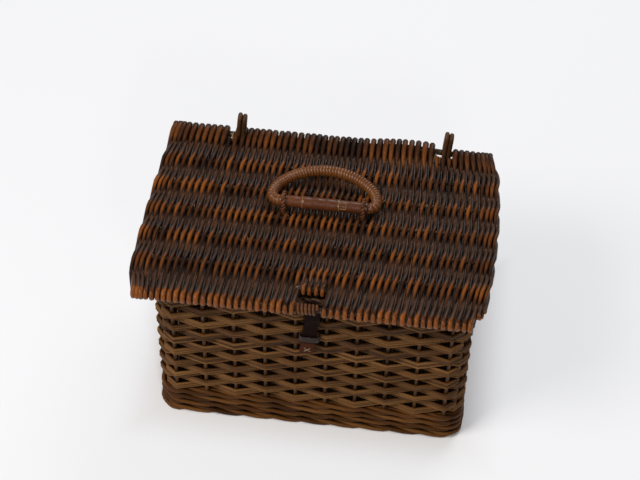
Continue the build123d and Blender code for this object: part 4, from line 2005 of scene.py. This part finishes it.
@dataclass
class Stage:
    """Floor, lamps and camera.

    Attributes:
        azimuth: Camera's turn to the right of the front, in degrees.
        elevation: Camera's height angle.
        roll: Camera's roll.
        distance: Camera's distance in millimetres.
        target: Point that it looks at.
        lens: Focal length.
        sensor: Width of the sensor.
        aim: Height in metres that the lamps face.
        floor_half: Half of the floor's width in metres.
        sky: Colour of the world.
        sky_strength: Strength of its light.
        lamps: Name, place in metres, width in metres, power in watts and colour of each lamp.
    """

    azimuth: float = 5.94
    elevation: float = 48.19
    roll: float = 1.25
    distance: float = 1722.0
    target: Triple = (4.59, -49.585, 238.87)
    lens: float = 97.18
    sensor: float = 36.0
    aim: float = 0.12
    floor_half: float = 8.0
    sky: Triple = (0.93, 0.95, 1.0)
    sky_strength: float = 0.22
    lamps: tuple[tuple[str, Triple, float, float, Triple], ...] = (
        ("key lamp", (-1.3, -0.9, 1.9), 0.9, 38.0, (1.0, 0.97, 0.93)),
        ("back lamp", (0.5, 1.5, 1.7), 1.2, 20.0, (0.95, 0.97, 1.0)),
        ("front lamp", (0.5, -1.9, 1.5), 0.3, 10.0, (1.0, 0.98, 0.95)),
    )

    def build(self) -> None:
        """Set up the floor, the lamps, the world and the camera."""
        self._floor()
        for lamp in self.lamps:
            self._lamp(*lamp)
        world = bpy.data.worlds.new("studio")
        world.use_nodes = True
        feeds = {"Color": (*self.sky, 1.0), "Strength": self.sky_strength}
        NodeNet(world.node_tree).feed(world.node_tree.nodes["Background"], feeds)
        bpy.context.scene.world = world
        bpy.context.scene.view_settings.view_transform = "Standard"
        self._camera()

    def _floor(self) -> None:
        """Lay the floor."""
        mesh = bpy.data.meshes.new("floor")
        size = self.floor_half
        corners = [(-size, -size, 0), (size, -size, 0), (size, size, 0), (-size, size, 0)]
        mesh.from_pydata(corners, [], [(0, 1, 2, 3)])
        mesh.materials.append(FloorFinish().build())
        floor = add_object("floor", mesh)

    def _lamp(self, name: str, place: Triple, size: float, power: float, colour: Triple) -> None:
        """Add a soft lamp that faces the basket.

        Args:
            name: Its name.
            place: Where it is, in metres.
            size: Its width in metres.
            power: Its power in watts.
            colour: Its colour.
        """
        data = bpy.data.lights.new(name, "AREA")
        data.size = size
        data.energy = power
        data.color = colour
        lamp = add_object(name, data)
        lamp.location = place
        away = Vector(place) - Vector((0, 0, self.aim))
        lamp.rotation_euler = away.to_track_quat("Z", "Y").to_euler()

    def _camera(self) -> None:
        """Place the camera at the photograph's viewing angle."""
        azimuth = math.radians(self.azimuth)
        elevation = math.radians(self.elevation)
        roll = math.radians(self.roll)
        back = Vector(
            (
                math.sin(azimuth) * math.cos(elevation),
                -math.cos(azimuth) * math.cos(elevation),
                math.sin(elevation),
            )
        )
        level = (-back).cross(Vector((0, 0, 1))).normalized()
        upright = level.cross(-back)
        right = level * math.cos(roll) + upright * math.sin(roll)
        top = upright * math.cos(roll) - level * math.sin(roll)
        place = (Vector(self.target) + back * self.distance) * MM
        data = bpy.data.cameras.new("camera")
        data.lens = self.lens
        data.sensor_width = self.sensor
        camera = add_object("camera", data)
        turn = Matrix((right, top, back)).transposed().to_4x4()
        camera.matrix_world = Matrix.Translation(place) @ turn
        bpy.context.scene.camera = camera


WILLOWS = {
    "side": WillowFinish(
        "side willow", (0.036, 0.0135, 0.0035), (0.105, 0.042, 0.009), (0.19, 0.087, 0.024), shine=0.13
    ),
    "foot": WillowFinish(
        "foot willow",
        (0.03, 0.01, 0.0022),
        (0.088, 0.0315, 0.0058),
        (0.16, 0.065, 0.015),
        shine=0.09,
        # Deeper painted shade in the hollows between rods.
        hollow_shade=0.2,
    ),
    "stake": WillowFinish("stake willow", (0.025, 0.01, 0.004), (0.06, 0.025, 0.009), (0.11, 0.05, 0.019)),
    # Much darker than the side willow: painted shade, as the base lies in the basket's shadow under the lid.
    "base": WillowFinish(
        "base willow", (0.015, 0.006, 0.003), (0.035, 0.015, 0.006), (0.06, 0.027, 0.01), shine=0.1
    ),
    "lid": WillowFinish(
        "lid willow",
        (0.0135, 0.0047, 0.0018),
        (0.038, 0.0128, 0.0037),
        (0.09, 0.029, 0.007),
        # Worn crests and front edge, partly painted light from the front.
        worn_and_lit=(0.22, 0.062, 0.008),
        worn_and_lit_share=0.9,
        # Painted sheen on the faces that lean to the back.
        back_sheen=(0.063, 0.034, 0.0205),
        back_sheen_share=0.7,
        rough_low=0.25,
        rough_high=0.5,
        # Deeper painted shade in the hollows between rods.
        hollow_shade=0.2,
    ),
    "wrap": WillowFinish(
        "wrap willow",
        (0.07, 0.024, 0.008),
        (0.13, 0.045, 0.014),
        (0.19, 0.075, 0.026),
        rough_low=0.25,
        rough_high=0.4,
    ),
    "lid stick": WillowFinish(
        "lid stick willow", (0.016, 0.007, 0.004), (0.04, 0.017, 0.008), (0.08, 0.036, 0.015), speck_share=0.7
    ),
    "cane": WillowFinish(
        "handle cane",
        (0.075, 0.0215, 0.0042),
        (0.14, 0.044, 0.0085),
        (0.21, 0.077, 0.018),
        rough_low=0.22,
        rough_high=0.4,
        shine=0.45,
    ),
    "cover": WillowFinish(
        "bar cover",
        (0.088, 0.025, 0.0075),
        (0.168, 0.05, 0.013),
        (0.265, 0.091, 0.025),
        rough_low=0.2,
        rough_high=0.36,
        bump=0.2,
        shine=0.4,
    ),
    "seam": WillowFinish("pale cane", (0.24, 0.13, 0.05), (0.32, 0.19, 0.08), (0.4, 0.25, 0.11)),
    "bare": WillowFinish("bare wood", (0.2, 0.12, 0.055), (0.3, 0.19, 0.09), (0.4, 0.28, 0.15)),
}
LEATHERS = {
    "strap": LeatherFinish(
        "strap leather",
        (0.0085, 0.0034, 0.0024),
        (0.017, 0.0075, 0.005),
        (0.055, 0.017, 0.008),
        rough=0.7,
        shine=0.03,
    ),
    "keeper": LeatherFinish(
        "keeper leather",
        (0.034, 0.024, 0.02),
        (0.065, 0.05, 0.042),
        (0.034, 0.024, 0.02),
        tip_low=20.0,
        tip_high=30.0,
    ),
    "thread": LeatherFinish("linen thread", (0.25, 0.17, 0.1), (0.32, 0.23, 0.15), (0.25, 0.17, 0.1)),
}


def main() -> None:
    """Build every sub-assembly."""
    logging.basicConfig(level=logging.INFO, format="%(message)s")
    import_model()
    willow = {name: finish.build() for name, finish in WILLOWS.items()}
    leather = {name: finish.build() for name, finish in LEATHERS.items()}
    tree = RodTree()
    wall_plan = WallPlan()
    lid_plan = LidPlan(wall_plan)
    slot = Slot(lid_plan, willow["lid stick"], willow["wrap"])
    Walls(wall_plan, willow["side"], willow["foot"], willow["stake"]).build(tree)
    Base(wall_plan, willow["base"], willow["stake"]).build(tree)
    Lid(lid_plan, slot, willow["lid"], willow["lid stick"]).build(tree)
    slot.build(tree)
    Splinters(lid_plan, willow["bare"]).build(tree)
    Hinges(lid_plan, willow["stake"]).build(tree)
    Handle(willow["cane"], willow["cover"], willow["seam"], willow["wrap"]).build(tree)
    Closure(leather["strap"], leather["keeper"], leather["thread"]).build(tree)
    Stage().build()


if __name__ == "__main__":
    main()
